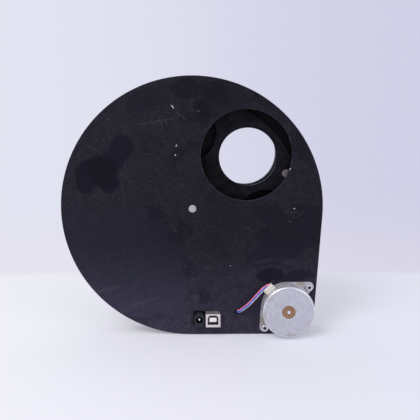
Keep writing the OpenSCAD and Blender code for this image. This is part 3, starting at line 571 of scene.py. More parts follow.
def anodised(name, look, seed=0, paintedLight=None):
    shader, place = newFinish(name)
    across, depth, up = place.parts()
    edge = warped(warped(place, *look["farShake"], seed), *look["nearShake"], seed + 3)
    cloud = noise(place, *look["cloud"], seed + 9)
    film = marks(edge, look["films"], look["filmSoft"]).most(fade(cloud, 0.45, 0.65, high=0.4))
    # the dark marks are stains, and on the wheel and just above the motor painted shadow
    oiledAndShaded = marks(edge, look["darkMarks"], look["darkMarkSoft"]).most(fade(cloud, 0.55, 0.35, high=0.12))
    fine = noise(place, *look["fine"], seed + 1)
    blotch = noise(place, *look["blotch"], seed + 2)
    smooth = oiledAndShaded.most(film * 0.75)
    dusty = 1.0 - smooth
    # a mark dries darker round its rim
    rim = film * (1.0 - film) * 0.9
    # painted light: paler to the left and towards the foot
    left = (across * -1.0).most(0.0) * look["left"]
    tone = left + look["tone"] + fade(up, look["footFrom"], look["footTo"], high=look["foot"])
    tone = tone * (1.0 - rim)
    if "shadedInnerFace" in look:
        # painted shade: the face that looks into the housing is painted darker
        tone = tone * fade(depth, look["shadedInnerFace"] + 0.02, look["shadedInnerFace"] + 0.3, 0.25)
    # dust lies on the matt part and is thin on the rest
    grit = fade(fine, 0.3, 0.7, -0.62, 0.75) + fade(blotch, 0.3, 0.7, -0.2, 0.2)
    grit = grit * (dusty * 0.75 + 0.25)
    tone = tone * (grit * look["grain"] + 1.0)
    colour = blend(oiledAndShaded, blend(film, look["dusty"], look["film"]), look["oiledAndShaded"])
    colour = colour.vector("SCALE", tone, "Scale")
    # pale specks of dust
    far, chance = cells(place, 0.9)
    specks = fade(far, 0.12, 0.26, 1.0, 0.0) * fade(chance, 0.56, 0.97, high=0.45) * (dusty * 0.85 + 0.15)
    colour = blend(specks, colour, look["speck"])
    if look["scratches"]:
        lines = marks(warped(place, *look["lineShake"], seed + 5), look["scratches"], look["lineSoft"])
        broken = fade(noise(place, *look["gaps"], seed + 6), 0.38, 0.6)
        colour = blend(lines * broken, colour, look["scratch"])
    rub = fade(noise(place, *look["rub"], seed + 7), 0.35, 0.7, 0.12, 0.8)
    colour = blend(attribute(place, "edgeWear") * rub, colour, look["worn"])
    if look["chips"]:
        bare = marks(warped(place, *look["chipShake"], seed + 8), look["chips"], look["chipSoft"])
        colour = blend(bare, colour, look["chip"])
    # any painted highlight that the finish takes
    if paintedLight:
        colour = paintedLight(place, colour)
    matt = fade(fine, 0.2, 0.8, look["roughness"] - 0.05, look["roughness"] + 0.08)
    endFinish(shader, noise(place, *look["texture"], seed + 4), 0.18 * look["grain"], 2 * fineBump, {
        "Base Color": colour, "Roughness": matt - smooth * 0.10, "Specular IOR Level": look["gloss"]})


def paintLitCellLip(place, colour):
    # a painted highlight on the lower right of the lip of the cell that stands in the light path
    away = place.vector("SUBTRACT", (litCellLip["at"][0], 0, litCellLip["at"][1]))
    r, inner, outer = radius(away), litCellLip["r"], litCellLip["r"] + litCellLip["width"]
    band = fade(r, inner, inner + 0.12) * fade(r, outer, outer - 0.12)
    return blend(band * marks(away, [litCellLip["side"]], 0.3), colour, litCellLip["colour"])


restCell = bearing(portAt) - 2.5
# the cell at rest in the port, and the paler colour of the painted highlight on its lip
litCellLip = {"at": polar(portAt.length, restCell), "r": 23.2, "width": 0.42, "side": (15, -19, 16, 15, 0, 1),
            "colour": (0.085, 0.085, 0.11)}
anodised("plateBlack", plateLook)
anodised("coverBlack", coverLook, 40)
anodised("wheelBlack", wheelLook, 80, paintLitCellLip)


# painted shade: the faces marked deep in recesses are painted near black
def withPaintedShade(place, colour):
    return blend(attribute(place, "grime"), colour, (0.012, 0.009, 0.008))


def mottled(place, look, detail, coarse, duller):
    # a colour that drifts between two shades, and a roughness that drifts with it
    tone = noise(place, look["scale"], detail, coarse, look["seed"])
    return (blend(fade(tone, 0.3, 0.7), look["colour"], look["tint"]),
            fade(tone, 0.3, 0.7, look["roughness"] - duller[0], look["roughness"] + duller[1]))


def metal(name, given):
    # one or more of turned, brushed, rim, spangle, pores and dark marks
    look = {"at": centre, "scale": 0.35, "metallic": 1.0, "bump": 0.1, "rare": 0.4, "pit": 0.7, **given}
    shader, place = newFinish(name, look["at"])
    seed, dark, metallic = look["seed"], look["dark"], look["metallic"]
    colour, rough = mottled(place, look, 5, 0.65, (0.06, 0.08))
    height = noise(place, 2.4, 3, 0.6, seed + 1)
    if "turned" in look:
        # fine rings left by the lathe
        rings = place.add("CombineXYZ", {0: radius(place), 1: place.parts()[1]})
        lines = noise(rings, look["turned"], 2, 0.8, seed + 2)
        height = height * 0.3 + lines
        colour = blend(fade(lines, 0.35, 0.65, high=0.35), colour, dark)
    if "brushed" in look:
        stroke = place.add("Mapping", {"Vector": place, "Scale": (0.12, 1.0, 2.6)})
        lines = noise(stroke, look["brushed"], 3, 0.7, seed + 2)
        height = height * 0.3 + lines
        colour = blend(fade(lines, 0.3, 0.7, high=0.25), colour, dark)
    if "rim" in look:
        # the drawn shoulder is smoother and painted paler, a painted highlight, with a painted shade line along
        # the crease inside it and a duller coat on the side
        r, rim = radius(place), look["rim"]
        shoulder = fade(r, rim, rim + 0.3)
        creaseShade = fade(r, rim - 0.45, rim - 0.2) * fade(r, rim + 0.15, rim - 0.1)
        colour = blend(creaseShade * 0.55, blend(shoulder * 0.6, colour, look["shoulderHighlight"]), dark)
        rough = rough - shoulder * 0.16
        metallic = metallic - fade(r, rim + 1.2, rim + 1.5, high=look["dull"])
    if "spangle" in look:
        # crystal patches of the zinc coat
        chance = cells(warped(place, 1.4, 0.6, seed), look["spangle"], 1)[1]
        share = fade(chance, 0.0, 1.0, high=0.3)
        if "rim" in look:
            share = share * (1.0 - shoulder * 0.8)
        colour = blend(share, colour, dark)
        rough = rough + fade(chance, 0.0, 1.0, -0.07, 0.07)
    if "pores" in look:
        far, chance = cells(place, look["pores"])
        pit = fade(far, 0.12, 0.3, 1.0, 0.0) * fade(chance, look["rare"], look["rare"] + 0.15)
        colour = blend(pit * look["pit"], colour, dark)
        height = height - pit
    if "darkMarks" in look:
        brown = marks(warped(place, 2.2, 0.5, seed + 4), look["darkMarks"], 0.5)
        brown = brown * fade(noise(place, 1.1, 4, 0.7, seed + 5), 0.3, 0.6, 0.25)
        colour = blend(brown, colour, look["rust"])
        rough = rough + brown * 0.25
    endFinish(shader, height, look["bump"], fineBump, {
        "Base Color": withPaintedShade(place, colour), "Roughness": rough, "Metallic": metallic})


def plastic(name, given):
    look = {"at": centre, "scale": 0.5, "grain": 4.0, "dirt": 0.15, "gloss": 0.5, "bump": 0.1, **given}
    shader, place = newFinish(name, look["at"])
    seed, dark = look["seed"], look["dark"]
    colour, rough = mottled(place, look, 4, 0.6, (0.05, 0.07))
    spots = noise(place, look["scale"] * 4, 4, 0.7, seed + 1)
    colour = blend(fade(spots, 0.55, 0.75, high=look["dirt"]), colour, dark)
    height = noise(place, look["grain"], 3, 0.6, seed + 2)
    if "rings" in look:
        # turns of wire laid side by side, painted darker between the turns as painted shade
        height = place.parts()[1] * look["rings"]
        height = height.calc("PINGPONG", height, 1.0)
        colour = blend(fade(height, 0.0, 0.5, 0.7, 0.0), colour, dark)
    if "tracks" in look:
        # copper tracks and vias under the mask
        height = fade(cells(place, look["tracks"], distance="CHEBYCHEV")[0], 0.30, 0.36, 1.0, 0.0)
        colour = blend(height * 0.5, colour, look["copper"])
    surface = {"Base Color": withPaintedShade(place, colour), "Roughness": rough, "Specular IOR Level": look["gloss"]}
    if "glow" in look:
        surface.update({"Subsurface Weight": look["glow"], "Subsurface Scale": 1.0,
                        "Subsurface Radius": (0.0012, 0.0009, 0.0006)})
    endFinish(shader, height, look["bump"], fineBump, surface)


def makeAll(maker, table):
    # a row: the two shades, a dark one, the roughness, the seed and what else differs; rare is how
    # few of the pores show, pit how dark they are
    for name, row in table.items():
        maker(name, {**dict(zip(("colour", "tint", "dark", "roughness", "seed"), row)), **row[5]})


zincLook = {
    "colour": (0.49, 0.49, 0.555), "tint": (0.6, 0.6, 0.665), "dark": (0.36, 0.36, 0.41),
    # the next colour is the painted highlight on the can's shoulder
    "shoulderHighlight": (0.76, 0.76, 0.81), "rust": (0.3, 0.22, 0.15), "roughness": 0.42, "spangle": 0.85,
    "metallic": 0.72, "seed": 5, "pores": 0.36, "rare": 0.64, "pit": 0.7, "bump": 0.08, "scale": 0.6,
    "darkMarks": [(-15.5, 11, 3, 2.2, 30, 0.35), (3, -19, 5, 1.2, 0, 0.4), (-19.3, -3, 1.2, 4, 0, 0.35),
        (16, -10, 2.5, 3, 0, 0.15), (-8, 6, 4, 3, 0, 0.12), (6.5, 1.5, 1.2, 1, 0, 0.2)],
}
metal("canZinc", dict(zincLook, at=driveAt, rim=19.45, dull=0.33))
metal("flangeZinc", dict(
    zincLook, at=driveAt, seed=11, roughness=0.46, colour=(0.47, 0.47, 0.53), tint=(0.56, 0.56, 0.62),
    darkMarks=[(11, 20.5, 4, 2.6, 30, 0.8), (13, 13, 6, 3, 40, 0.7), (-20, -12, 2, 5, 10, 0.8),
            (-16, -20, 4, 3, 0, 0.5), (3, 22, 4, 1.5, 0, 0.4)]))
makeAll(metal, {
    "screwSteel": ((0.62, 0.61, 0.64), (0.74, 0.73, 0.75), (0.42, 0.41, 0.43), 0.28, 21, {"brushed": 0.8}),
    "blackSteel": ((0.05, 0.05, 0.053), (0.08, 0.078, 0.082), (0.02, 0.02, 0.02), 0.36, 23, {"brushed": 0.8,
        "metallic": 0.85}),
    "turnedSteel": ((0.41, 0.41, 0.43), (0.51, 0.51, 0.53), (0.28, 0.28, 0.3), 0.33, 25, {"turned": 3,
        "metallic": 0.85}),
    "shaftSteel": ((0.7, 0.7, 0.74), (0.8, 0.8, 0.84), (0.45, 0.45, 0.5), 0.25, 27, {"at": driveAt,
        "turned": 4}),
    "bearingSteel": ((0.58, 0.58, 0.6), (0.66, 0.66, 0.68), (0.4, 0.4, 0.42), 0.16, 29, {"turned": 5}),
    "hubMetal": ((0.42, 0.42, 0.44), (0.52, 0.52, 0.54), (0.3, 0.3, 0.32), 0.34, 31, {"turned": 2.5}),
    "cageBrass": ((0.5, 0.32, 0.11), (0.62, 0.42, 0.16), (0.3, 0.18, 0.06), 0.3, 33, {"brushed": 1.5}),
    "bronze": ((0.25, 0.135, 0.072), (0.33, 0.185, 0.105), (0.11, 0.06, 0.035), 0.46, 35, {"at": driveAt,
        "pores": 2.2, "rare": 0.25, "pit": 0.8, "metallic": 0.6, "scale": 0.7, "bump": 0.25}),
    "magnetNickel": ((0.2, 0.165, 0.165), (0.29, 0.245, 0.245), (0.11, 0.09, 0.09), 0.42, 37, {"pores": 1.4,
        "rare": 0.5, "metallic": 0.6, "scale": 0.9}),
    "rotorFerrite": ((0.075, 0.075, 0.082), (0.11, 0.11, 0.12), (0.03, 0.03, 0.03), 0.5, 39, {"at": driveAt,
        "pores": 1.8, "rare": 0.5, "metallic": 0.4}),
    "poleIron": ((0.28, 0.28, 0.3), (0.38, 0.38, 0.4), (0.17, 0.16, 0.16), 0.4, 41, {"at": driveAt,
        "brushed": 1}),
    "shellTin": ((0.7, 0.635, 0.63), (0.82, 0.76, 0.76), (0.5, 0.43, 0.42), 0.3, 43, {"brushed": 1.2,
        "scale": 0.6, "metallic": 0.8}),
    "pinNickel": ((0.5, 0.48, 0.44), (0.62, 0.6, 0.57), (0.34, 0.32, 0.29), 0.22, 45, {"brushed": 1.5}),
    "contactGold": ((0.42, 0.27, 0.07), (0.55, 0.37, 0.11), (0.2, 0.12, 0.04), 0.26, 47, {"brushed": 1.6}),
})
vinyl = {"dirt": 0.2, "glow": 0.1, "grain": 2.0}
makeAll(plastic, {
    "creamNylon": ((0.57, 0.525, 0.485), (0.69, 0.65, 0.62), (0.32, 0.26, 0.22), 0.42, 51, {"at": driveAt,
        "dirt": 0.3, "glow": 0.25}),
    "blackPlastic": ((0.014, 0.014, 0.022), (0.022, 0.022, 0.033), (0.008, 0.008, 0.01), 0.46, 61,
        {"gloss": 0.2, "dirt": 0.4}),
    "whitePlastic": ((0.68, 0.68, 0.71), (0.76, 0.76, 0.79), (0.44, 0.42, 0.4), 0.4, 63, {"dirt": 0.12,
        "glow": 0.1}),
    "beltRubber": ((0.01, 0.01, 0.012), (0.016, 0.016, 0.018), (0.006, 0.006, 0.006), 0.6, 65,
        {"gloss": 0.15, "bump": 0.2}),
    "boardGreen": ((0.012, 0.085, 0.035), (0.016, 0.11, 0.045), (0.006, 0.03, 0.015), 0.35, 67,
        {"copper": (0.05, 0.22, 0.08), "tracks": 0.55}),
    "chipEpoxy": ((0.022, 0.022, 0.024), (0.03, 0.03, 0.032), (0.012, 0.012, 0.012), 0.55, 69,
        {"bump": 0.2}),
    "capacitorEpoxy": ((0.58, 0.36, 0.035), (0.66, 0.43, 0.06), (0.3, 0.17, 0.02), 0.4, 71, {}),
    "windingEnamel": ((0.36, 0.115, 0.04), (0.44, 0.15, 0.055), (0.1, 0.03, 0.01), 0.3, 73, {"at": driveAt,
        "rings": 5, "bump": 0.5}),
    "redVinyl": ((0.82, 0.16, 0.24), (0.90, 0.24, 0.31), (0.45, 0.06, 0.10), 0.38, 53, vinyl),
    "blueVinyl": ((0.012, 0.105, 0.60), (0.026, 0.15, 0.70), (0.01, 0.03, 0.2), 0.38, 53, vinyl),
    "whiteVinyl": ((0.70, 0.68, 0.62), (0.80, 0.78, 0.74), (0.4, 0.36, 0.3), 0.38, 53, vinyl),
    "yellowVinyl": ((0.68, 0.47, 0.05), (0.78, 0.56, 0.09), (0.35, 0.2, 0.02), 0.38, 53, vinyl),
})
print("materials made:", len(finish))

# rear housing
shellLow = flatBox("rear_housing")[0]
coverLow, coverHigh = flatBox("front_cover")
boardLow = flatBox("controller_board")[0]
usbLow, usbHigh = flatBox("usb_shell")
jackLow, jackHigh = flatBox("jack_body")
housing = {
    "r": -shellLow.x, "cornerR": driveAt.y - shellLow.y, "depth": -shellLow.z, "floor": 3.2, "wall": 6.0,
    "bayR": 20.3, "portR": mount["camera_port"]["dims"]["r_mm"], "axleR": 3.2, "pilotR": 5.35,
    "leadHole": (45.35, 12.3), "leadHoleR": 2.1, "socketGap": 0.6, "boardScrewR": 0.82, "motorScrewR": 1.52,
    "coverScrewR": 1.27, "screwDepth": 12.4, "edge": 0.4, "innerEdge": 0.2, "holeEdge": 0.18,
    "screwEdge": 0.12, "leadEdge": 0.08, "socketEdge": 0.05, "cornerFillet": 0.5,
}
leadHoleAt = boardLow.to_2d() + Vector(housing["leadHole"])
coverScrews = middles("cover_screws")
motorScrews = middles("motor_screws")
boardScrews = middles("board_screws")


def socketCutOut(s):
    # the two sockets' cut-outs run into each other, so they are one outline
    gap, r = s["socketGap"], s["cornerFillet"]
    left, foot = jackLow.x - gap, jackLow.y - gap
    split, usbX = jackHigh.x + gap, usbLow.x - gap
    right, usbFoot = usbHigh.x + gap, usbLow.y - gap
    jackTop, usbTop = jackHigh.y + 1.5 * gap, usbHigh.y + gap
    corners = [(left, foot, r), (split, foot, 0.3), (split, usbFoot, 0.12), (right, usbFoot, r),
               (right, usbTop, r), (usbX, usbTop, 0.12), (usbX, jackTop, 0.1), (left, jackTop, r)]
    points = []
    for last, here, following in around([Vector(corner) for corner in corners]):
        back, on = [(other.to_2d() - here.to_2d()).normalized() for other in (last, following)]
        for k in range(5):
            turn = math.radians(90 * k / 4)
            points.append(here.to_2d() + here.z * ((1 - math.sin(turn)) * back + (1 - math.cos(turn)) * on))
    return points


def drilled(bm, outer, inner, top, bottom, holes):
    # a plate between two rings, with holes through it given as (outline, edge)
    made = [wall(bm, outline, roundEdge(top, edge, -1) + [(0, bottom, 0)], hole=True)
            for outline, edge in holes]
    cap(bm, outer, *[ring[0] for ring in made])
    cap(bm, inner, *[ring[1] for ring in made])


def shellWall(bm, r, cornerR, top, bottom, steps=360, hole=False):
    # a wall round both circles, from the rows of its upper end to those of its lower end
    return wall(bm, tangentPair(r, driveAt, cornerR, steps), top + roundEdge(*bottom, 1)[::-1], hole)


def makeHousing(s):
    bm = newShape()
    floor, foot = -s["floor"], (-s["depth"], s["innerEdge"])
    outer = shellWall(bm, s["r"], s["cornerR"], roundEdge(0, s["edge"], -1), foot)
    cavity = shellWall(bm, s["r"] - s["wall"], s["bayR"], [(0, floor, 0)], foot, 300, True)
    holes = [(circle(portAt, s["portR"], 220), s["edge"]), (circle(centre, s["axleR"], 48), s["holeEdge"]),
             (circle(driveAt, s["pilotR"], 64), s["holeEdge"]),
             (circle(leadHoleAt, s["leadHoleR"], 48), s["leadEdge"]), (socketCutOut(s), s["socketEdge"])]
    holes += [(circle(at, s["boardScrewR"], 24), s["screwEdge"]) for at in boardScrews]
    holes += [(circle(at, s["motorScrewR"], 32), s["screwEdge"]) for at in motorScrews]
    drilled(bm, outer[0], cavity[0], 0, floor, holes)
    blind = []
    for at in coverScrews:
        rows = [(0, -s["depth"], 0), (0, -s["screwDepth"], 0)]
        mouth, end = wall(bm, circle(at, s["coverScrewR"], 24), rows, hole=True)
        cap(bm, end)
        blind.append(mouth)
    cap(bm, outer[1], cavity[1], *blind)
    finishPiece("rearHousing", bm, "plateBlack", "rear_housing")


makeHousing(housing)

# front cover
cover = {"top": coverHigh.z, "bottom": coverLow.z, "portR": mount["telescope_port"]["dims"]["r_mm"],
         "axleR": 3.195, "axleSeat": 2.5, "edge": 0.15, "portTop": 0.25, "portEdge": 0.5,
         "screwR": 1.45, "headR": 2.36, "axleScrewR": 1.8, "axleHeadR": 3.16}


def countersunk(bm, at, headR, shankR, face, far):
    # a hole whose mouth opens in a cone on the face
    drop = headR - shankR
    toward = 1 if far > face else -1
    return wall(bm, circle(at, shankR, 48), [(drop + 0.02, face, 1), (drop, face + toward * 0.03, 1),
                                             (0, face + toward * drop, 0), (0, far, 0)], hole=True)


def makeCover(s):
    bm = newShape()
    top, bottom, seatEnd = s["top"], s["bottom"], s["top"] - s["axleSeat"]
    outer = shellWall(bm, housing["r"], housing["cornerR"], roundEdge(top, s["edge"], -1),
                      (bottom, s["edge"]))
    port = wall(bm, circle(portAt, s["portR"], 200),
                roundEdge(top, s["portTop"], -1) + roundEdge(bottom, s["portEdge"], 1)[::-1], hole=True)
    screws = [countersunk(bm, at, s["headR"], s["screwR"], bottom, top) for at in coverScrews]
    # the axle's blind seat on one face and its screw's countersink on the other
    seat = wall(bm, circle(centre, s["axleR"], 48), [(0, top, 0), (0, seatEnd, 0)], hole=True)
    screw = countersunk(bm, centre, s["axleHeadR"], s["axleScrewR"], bottom, seatEnd)
    cap(bm, seat[1], screw[1])
    cap(bm, outer[0], port[0], seat[0], *[far for near, far in screws])
    cap(bm, outer[1], port[1], screw[0], *[near for near, far in screws])
    finishPiece("frontCover", bm, "coverBlack", "front_cover")


makeCover(cover)

# filter wheel, made by a rule
wheelLow, wheelHigh = flatBox("filter_wheel")
hubScrews = middles("hub_screws")
magnetAt = middles("index_magnet")[0]
wheel = {
    "top": wheelHigh.z, "bottom": wheelLow.z, "rimR": wheelHigh.x, "bevel": 0.5, "hubR": 11.02,
    "pitchR": portAt.length, "cellR": litCellLip["r"], "pocketR": 25.15, "lip": 1.35, "cells": 7,
    "beltR": 88.3, "grooveR": 1.45, "beltDrop": 2.4, "cellEdge": 0.3, "screwR": 1.27, "magnetR": 3.195,
    "magnetDepth": 3.0, "over": 1.0,
}
beltZ = wheel["top"] - wheel["beltDrop"]


def turnedMesh(name, rows, at=centre, steps=96, closed=False):
    bm = newShape()
    lathe(bm, rows, at, steps, closed)
    bmesh.ops.recalc_face_normals(bm, faces=bm.faces)
    return plainMesh(name, bm)


def wheelBlank(s):
    top, bottom, r, bevel = s["top"], s["bottom"], s["rimR"], s["bevel"]
    mouth = math.degrees(math.acos((s["beltR"] - r) / s["grooveR"]))
    belt = Vector((s["beltR"], beltZ))
    groove = [belt - polar(s["grooveR"], -mouth + 2 * mouth * i / 12) for i in range(13)]
    rows = [(s["hubR"], top, 0), (r - bevel, top, 1), (r - 0.2, top - 0.2, 1), (r, top - bevel, 1)]
    rows += [(*spot, 0) for spot in groove]
    rows += [(r, bottom + bevel, 1), (r - 0.2, bottom + 0.2, 1), (r - bevel, bottom, 1),
             (s["hubR"], bottom, 0)]
    return turnedMesh("wheelBlank", rows, steps=360, closed=True)


def cutWith(tree, given, tool):
    cut = addNode(tree, "GeometryNodeMeshBoolean", {"Mesh 1": given["Geometry"], "Mesh 2": tool},
                  operation="DIFFERENCE", solver="EXACT")[0]
    return endTree(tree, cut, given["Material"])


def wheelTree():
    tree, given = shapeTree("cellWheel", {
        "Cell count": "Int", "Pitch radius": "Float", "First cell": "Float", "Cell cutter": "Object",
        "Seat places": "Object", "Screw cutter": "Object", "Magnet cutter": "Object", "Material": "Material"})
    shape = {name: fromObject(tree, socket) for name, socket in given.items() if socket.type == "OBJECT"}
    ring = addNode(tree, "GeometryNodeMeshCircle", {
        "Vertices": given["Cell count"], "Radius": given["Pitch radius"]})[0]
    turn = addNode(tree, "ShaderNodeCombineXYZ", {2: given["First cell"]})[0]
    ring = addNode(tree, "GeometryNodeTransform", {"Geometry": ring, "Rotation": turn})[0]
    places = [(ring, shape["Cell cutter"]), (shape["Seat places"], shape["Screw cutter"])]
    tools = [addNode(tree, "GeometryNodeInstanceOnPoints", {"Points": points, "Instance": cutter})[0]
             for points, cutter in places]
    join = tree.nodes.new("GeometryNodeJoinGeometry")
    for tool in (*tools, shape["Magnet cutter"]):
        tree.links.new(tool, join.inputs[0])
    tool = addNode(tree, "GeometryNodeRealizeInstances", {"Geometry": join.outputs[0]})[0]
    return cutWith(tree, given, tool)


def makeWheel(s):
    def cutter(name, rows, at=centre, steps=96):
        return newObject(name, turnedMesh(name, rows, at, steps))

    edge, over = s["cellEdge"], s["over"]
    top, bottom, ledge = s["top"], s["bottom"], s["top"] - s["lip"]
    above, below, seat = top + over, bottom - over, top - s["magnetDepth"]
    cell, pocket, hole, nest = s["cellR"], s["pocketR"], s["screwR"], s["magnetR"]
    cellTool = cutter("cellTool", [
        (0, above), (cell + edge + over, above), (cell, top - edge), (cell, ledge), (pocket, ledge),
        (pocket, bottom + edge), (pocket + edge + over, below), (0, below)], steps=144)
    screwTool = cutter("screwTool", [(0, above), (hole, above), (hole, below), (0, below)], steps=24)
    magnetTool = cutter("magnetTool", [(0, above), (nest, above), (nest, seat), (0, seat)], magnetAt, 48)
    seats = newObject("seatPlaces", meshFrom("seatPlaces", [(*at, 0) for at in hubScrews]))
    runTree("filterWheel", wheelBlank(s), wheelTree(), {
        "Cell count": s["cells"], "Pitch radius": s["pitchR"], "First cell": math.radians(restCell),
        "Cell cutter": cellTool, "Seat places": seats, "Screw cutter": screwTool, "Magnet cutter": magnetTool,
        "Material": finish["wheelBlack"]}, 24, "filter_wheel", "wheel")


makeWheel(wheel)


# belt and leads, swept along their paths
def sweepTree():
    tree, given = shapeTree("sweptRound", {"Radius": "Float", "Sides": "Int", "Material": "Material"})
    line = addNode(tree, "GeometryNodeMeshToCurve", {"Mesh": given["Geometry"]})[0]
    section = addNode(tree, "GeometryNodeCurvePrimitiveCircle", {
        "Resolution": given["Sides"], "Radius": given["Radius"]})[0]
    tube = addNode(tree, "GeometryNodeCurveToMesh", {
        "Curve": line, "Profile Curve": section, "Fill Caps": True})[0]
    smooth = addNode(tree, "GeometryNodeSetShadeSmooth", {"Geometry": tube})[0]
    return endTree(tree, smooth, given["Material"])


sweep = sweepTree()


def sweptPiece(name, points, s, material, node, loop=False):
    count = len(points)
    edges = [(i, (i + 1) % count) for i in range(count if loop else count - 1)]
    runTree(name, meshFrom(name, points, edges), sweep, {
        "Radius": s["r"], "Sides": s["sides"], "Material": finish[material]}, 60, node)


belt = {"r": 1.4, "ratio": 5.0, "steps": 260, "sides": 20}
beltPath = tangentPair(wheel["beltR"], driveAt, wheel["beltR"] / belt["ratio"], belt["steps"])
sweptPiece("driveBelt", [(*p, beltZ) for p in beltPath], belt, "beltRubber", "drive_belt", loop=True)

plug = {"angle": 131.0, "canR": 21.0, "width": 8.2, "height": 4.6, "lift": 7.6, "collar": 1.5, "depth": 3.1,
        "seat": 0.02, "lip": 0.4}
leads = {
    "r": 0.54, "steps": 9, "sides": 16, "stub": 0.8,
    # the middle of the bundle, from the plug to the housing's hole and down into it
    "run": [(56.5, -64.3, 8.7), (53.5, -67.6, 8.7), (49.5, -72.6, 7.6), (45.5, -77.5, 6.0),
            (41.4, -81.6, 3.9), (38.6, -84.2, 1.9), (37.2, -85.2, 0.2), (36.9, -85.4, -2.0),
            (36.8, -85.4, -4.4)],
    # each lead's place along the plug, and its places in the bundle at the start and at the end
    # (to the upper left, outwards)
    "red": (-1.3, (0.95, -0.20), (0.67, -0.19)), "blue": (-0.3, (0.12, 0.62), (0.05, 0.97)),
    "white": (2.1, (-0.85, -0.25), (-0.84, 0.05)), "yellow": (0.9, (0.10, -0.70), (0, -0.80)),
}


def throughPoints(points, steps):
    # a smooth line through all the points
    line = []
    for k in range(len(points) - 1):
        a, b = points[max(0, k - 1)], points[k]
        c, d = points[k + 1], points[min(len(points) - 1, k + 2)]
        for i in range(steps):
            t = i / steps
            line.append(b + (c - a) * (t / 2) + (2 * a - 5 * b + 4 * c - d) * (t * t / 2)
                        + (3 * b - 3 * c + d - a) * (t ** 3 / 2))
    return line + [points[-1]]


def leadPath(s, shade):
    row, first, last = s[shade]
    out, along = polar(1, plug["angle"]), polar(1, plug["angle"] + 90)
    root = driveAt + (plug["canR"] + plug["seat"] + plug["collar"] + plug["depth"]) * out
    start = Vector((*(root + row * along), plug["lift"]))
    run = [Vector(p) for p in s["run"]]
    path = [start, start + Vector((*(s["stub"] * out), 0))]
    side = None
    for k, point in enumerate(run):
        aside, above = Vector(first).lerp(Vector(last), k / (len(run) - 1))
        heading = (run[min(k + 1, len(run) - 1)] - run[max(k - 1, 0)]).normalized()
        side = side or Vector((heading.y, -heading.x, 0))
        side = (side - heading * side.dot(heading)).normalized()
        path.append(point + aside * side + above * side.cross(heading))
    return throughPoints(path, s["steps"])


for shade in ("red", "blue", "white", "yellow"):
    sweptPiece("lead" + shade.title(), leadPath(leads, shade), leads, shade + "Vinyl",
               "lead_" + shade)


# screws, set out from their places
def screwTree():
    tree, given = shapeTree("screwSet", {"Screw": "Object", "Seed": "Int", "Material": "Material"})
    turn = addNode(tree, "FunctionNodeRandomValue", {2: 0.0, 3: math.pi / 3, "Seed": given["Seed"]},
                   data_type="FLOAT")[1]
    turn = addNode(tree, "ShaderNodeCombineXYZ", {2: turn})[0]
    placed = addNode(tree, "GeometryNodeInstanceOnPoints", {
        "Points": given["Geometry"], "Instance": fromObject(tree, given["Screw"]), "Rotation": turn})[0]
    return endTree(tree, placed, given["Material"])


screwSet = screwTree()


def hexRecess(bm, ring, s, face, down):
    # the flat face inside a ring, with the socket for a hexagon key
    mouth, end = wall(bm, circle(centre, s["hexR"], 6), [
        (0.08, face, 1), (0, face + down * 0.08, 0.5), (0, face + down * s["recess"], 0)], hole=True)
    cap(bm, ring, mouth)
    cap(bm, end)
    # painted shade deep in the socket for the key
    paintShade(bm, centre, (s["hexR"],) * 2, face + down * 0.12, 0.9, down)


def capScrew(bm, s):
    # a knurled head that stands on zero, with its shank below
    r, shank, top, foot, bend = s["headR"], s["shankR"], s["headH"], -s["length"], 0.35
    rows = [(*spot, 1) for spot in arc(Vector((r - bend, top - bend)), bend, 90, 0, 5)]
    rows += [(r, top - 0.5, 0.3, 0.05), (r, 0.3, 0, 0.05), (r, 0.15, 0.5), (r - 0.15, 0, 1), (shank, 0),
             (shank, foot + 0.3), (shank - 0.3, foot)]
    rings = lathe(bm, rows, steps=144, closed=False)
    hexRecess(bm, rings[0], s, top, -1)
    cap(bm, rings[-1])
    # painted shade on the end of the shank, deep in its hole
    paintShade(bm, centre, (shank + 0.1,) * 2, foot + 0.5, 0.97)


def flatScrew(bm, s):
    # a countersunk head whose flat face lies at zero, with its shank above
    r, shank, length = s["headR"], s["shankR"], s["length"]
    rows = [(r - 0.12, 0, 1), (r, 0.1, 1), (shank, r - shank), (shank, length - 0.3), (shank - 0.3, length)]
    rings = lathe(bm, rows, steps=48, closed=False)
    hexRecess(bm, rings[0], s, 0, 1)
    cap(bm, rings[-1])


def screwPiece(name, s, node, body="housing"):
    # level is the height of the screw's own zero
    bm = newShape()
    (capScrew if "headH" in s else flatScrew)(bm, s)
    bmesh.ops.remove_doubles(bm, verts=bm.verts, dist=weld)
    bmesh.ops.recalc_face_normals(bm, faces=bm.faces)
    if "flip" in s:
        bm.transform(Matrix.Rotation(math.pi, 4, "X"))
    one = newObject(name + "One", plainMesh(name + "One", bm))
    runTree(name, meshFrom(name, [(*at, s["level"]) for at in s["at"]]), screwSet, {
        "Screw": one, "Seed": s["seed"], "Material": finish[s["finish"]]}, 35, node, body)


flangeTop = flatBox("motor_flange")[1].z
smallScrew = {"headR": 2.3125, "shankR": 1.25, "length": 12.0, "hexR": 0.875, "recess": 1.25,
              "finish": "blackSteel"}
screwPiece("motorScrews", {
    "at": motorScrews, "level": flangeTop, "seed": 3, "headR": 2.775, "headH": 3.0, "shankR": 1.5,
    "length": flangeTop + housing["floor"], "hexR": 1.44, "recess": 1.6, "finish": "screwSteel"},
    "motor_screws")
screwPiece("coverScrews", dict(smallScrew, at=coverScrews, level=cover["bottom"], seed=5),
           "cover_screws")
screwPiece("axleScrew", {
    "at": [centre], "level": cover["bottom"], "seed": 7, "headR": 2.96, "shankR": 1.6, "length": 12.0,
    "hexR": 1.12, "recess": 1.6, "finish": "blackSteel"}, "axle_screw")
hubLevel = flatBox("hub_screws")[1].z
screwPiece("hubScrews", dict(smallScrew, at=hubScrews, level=hubLevel, seed=9, length=8.15, flip=True),
           "hub_screws", "wheel")
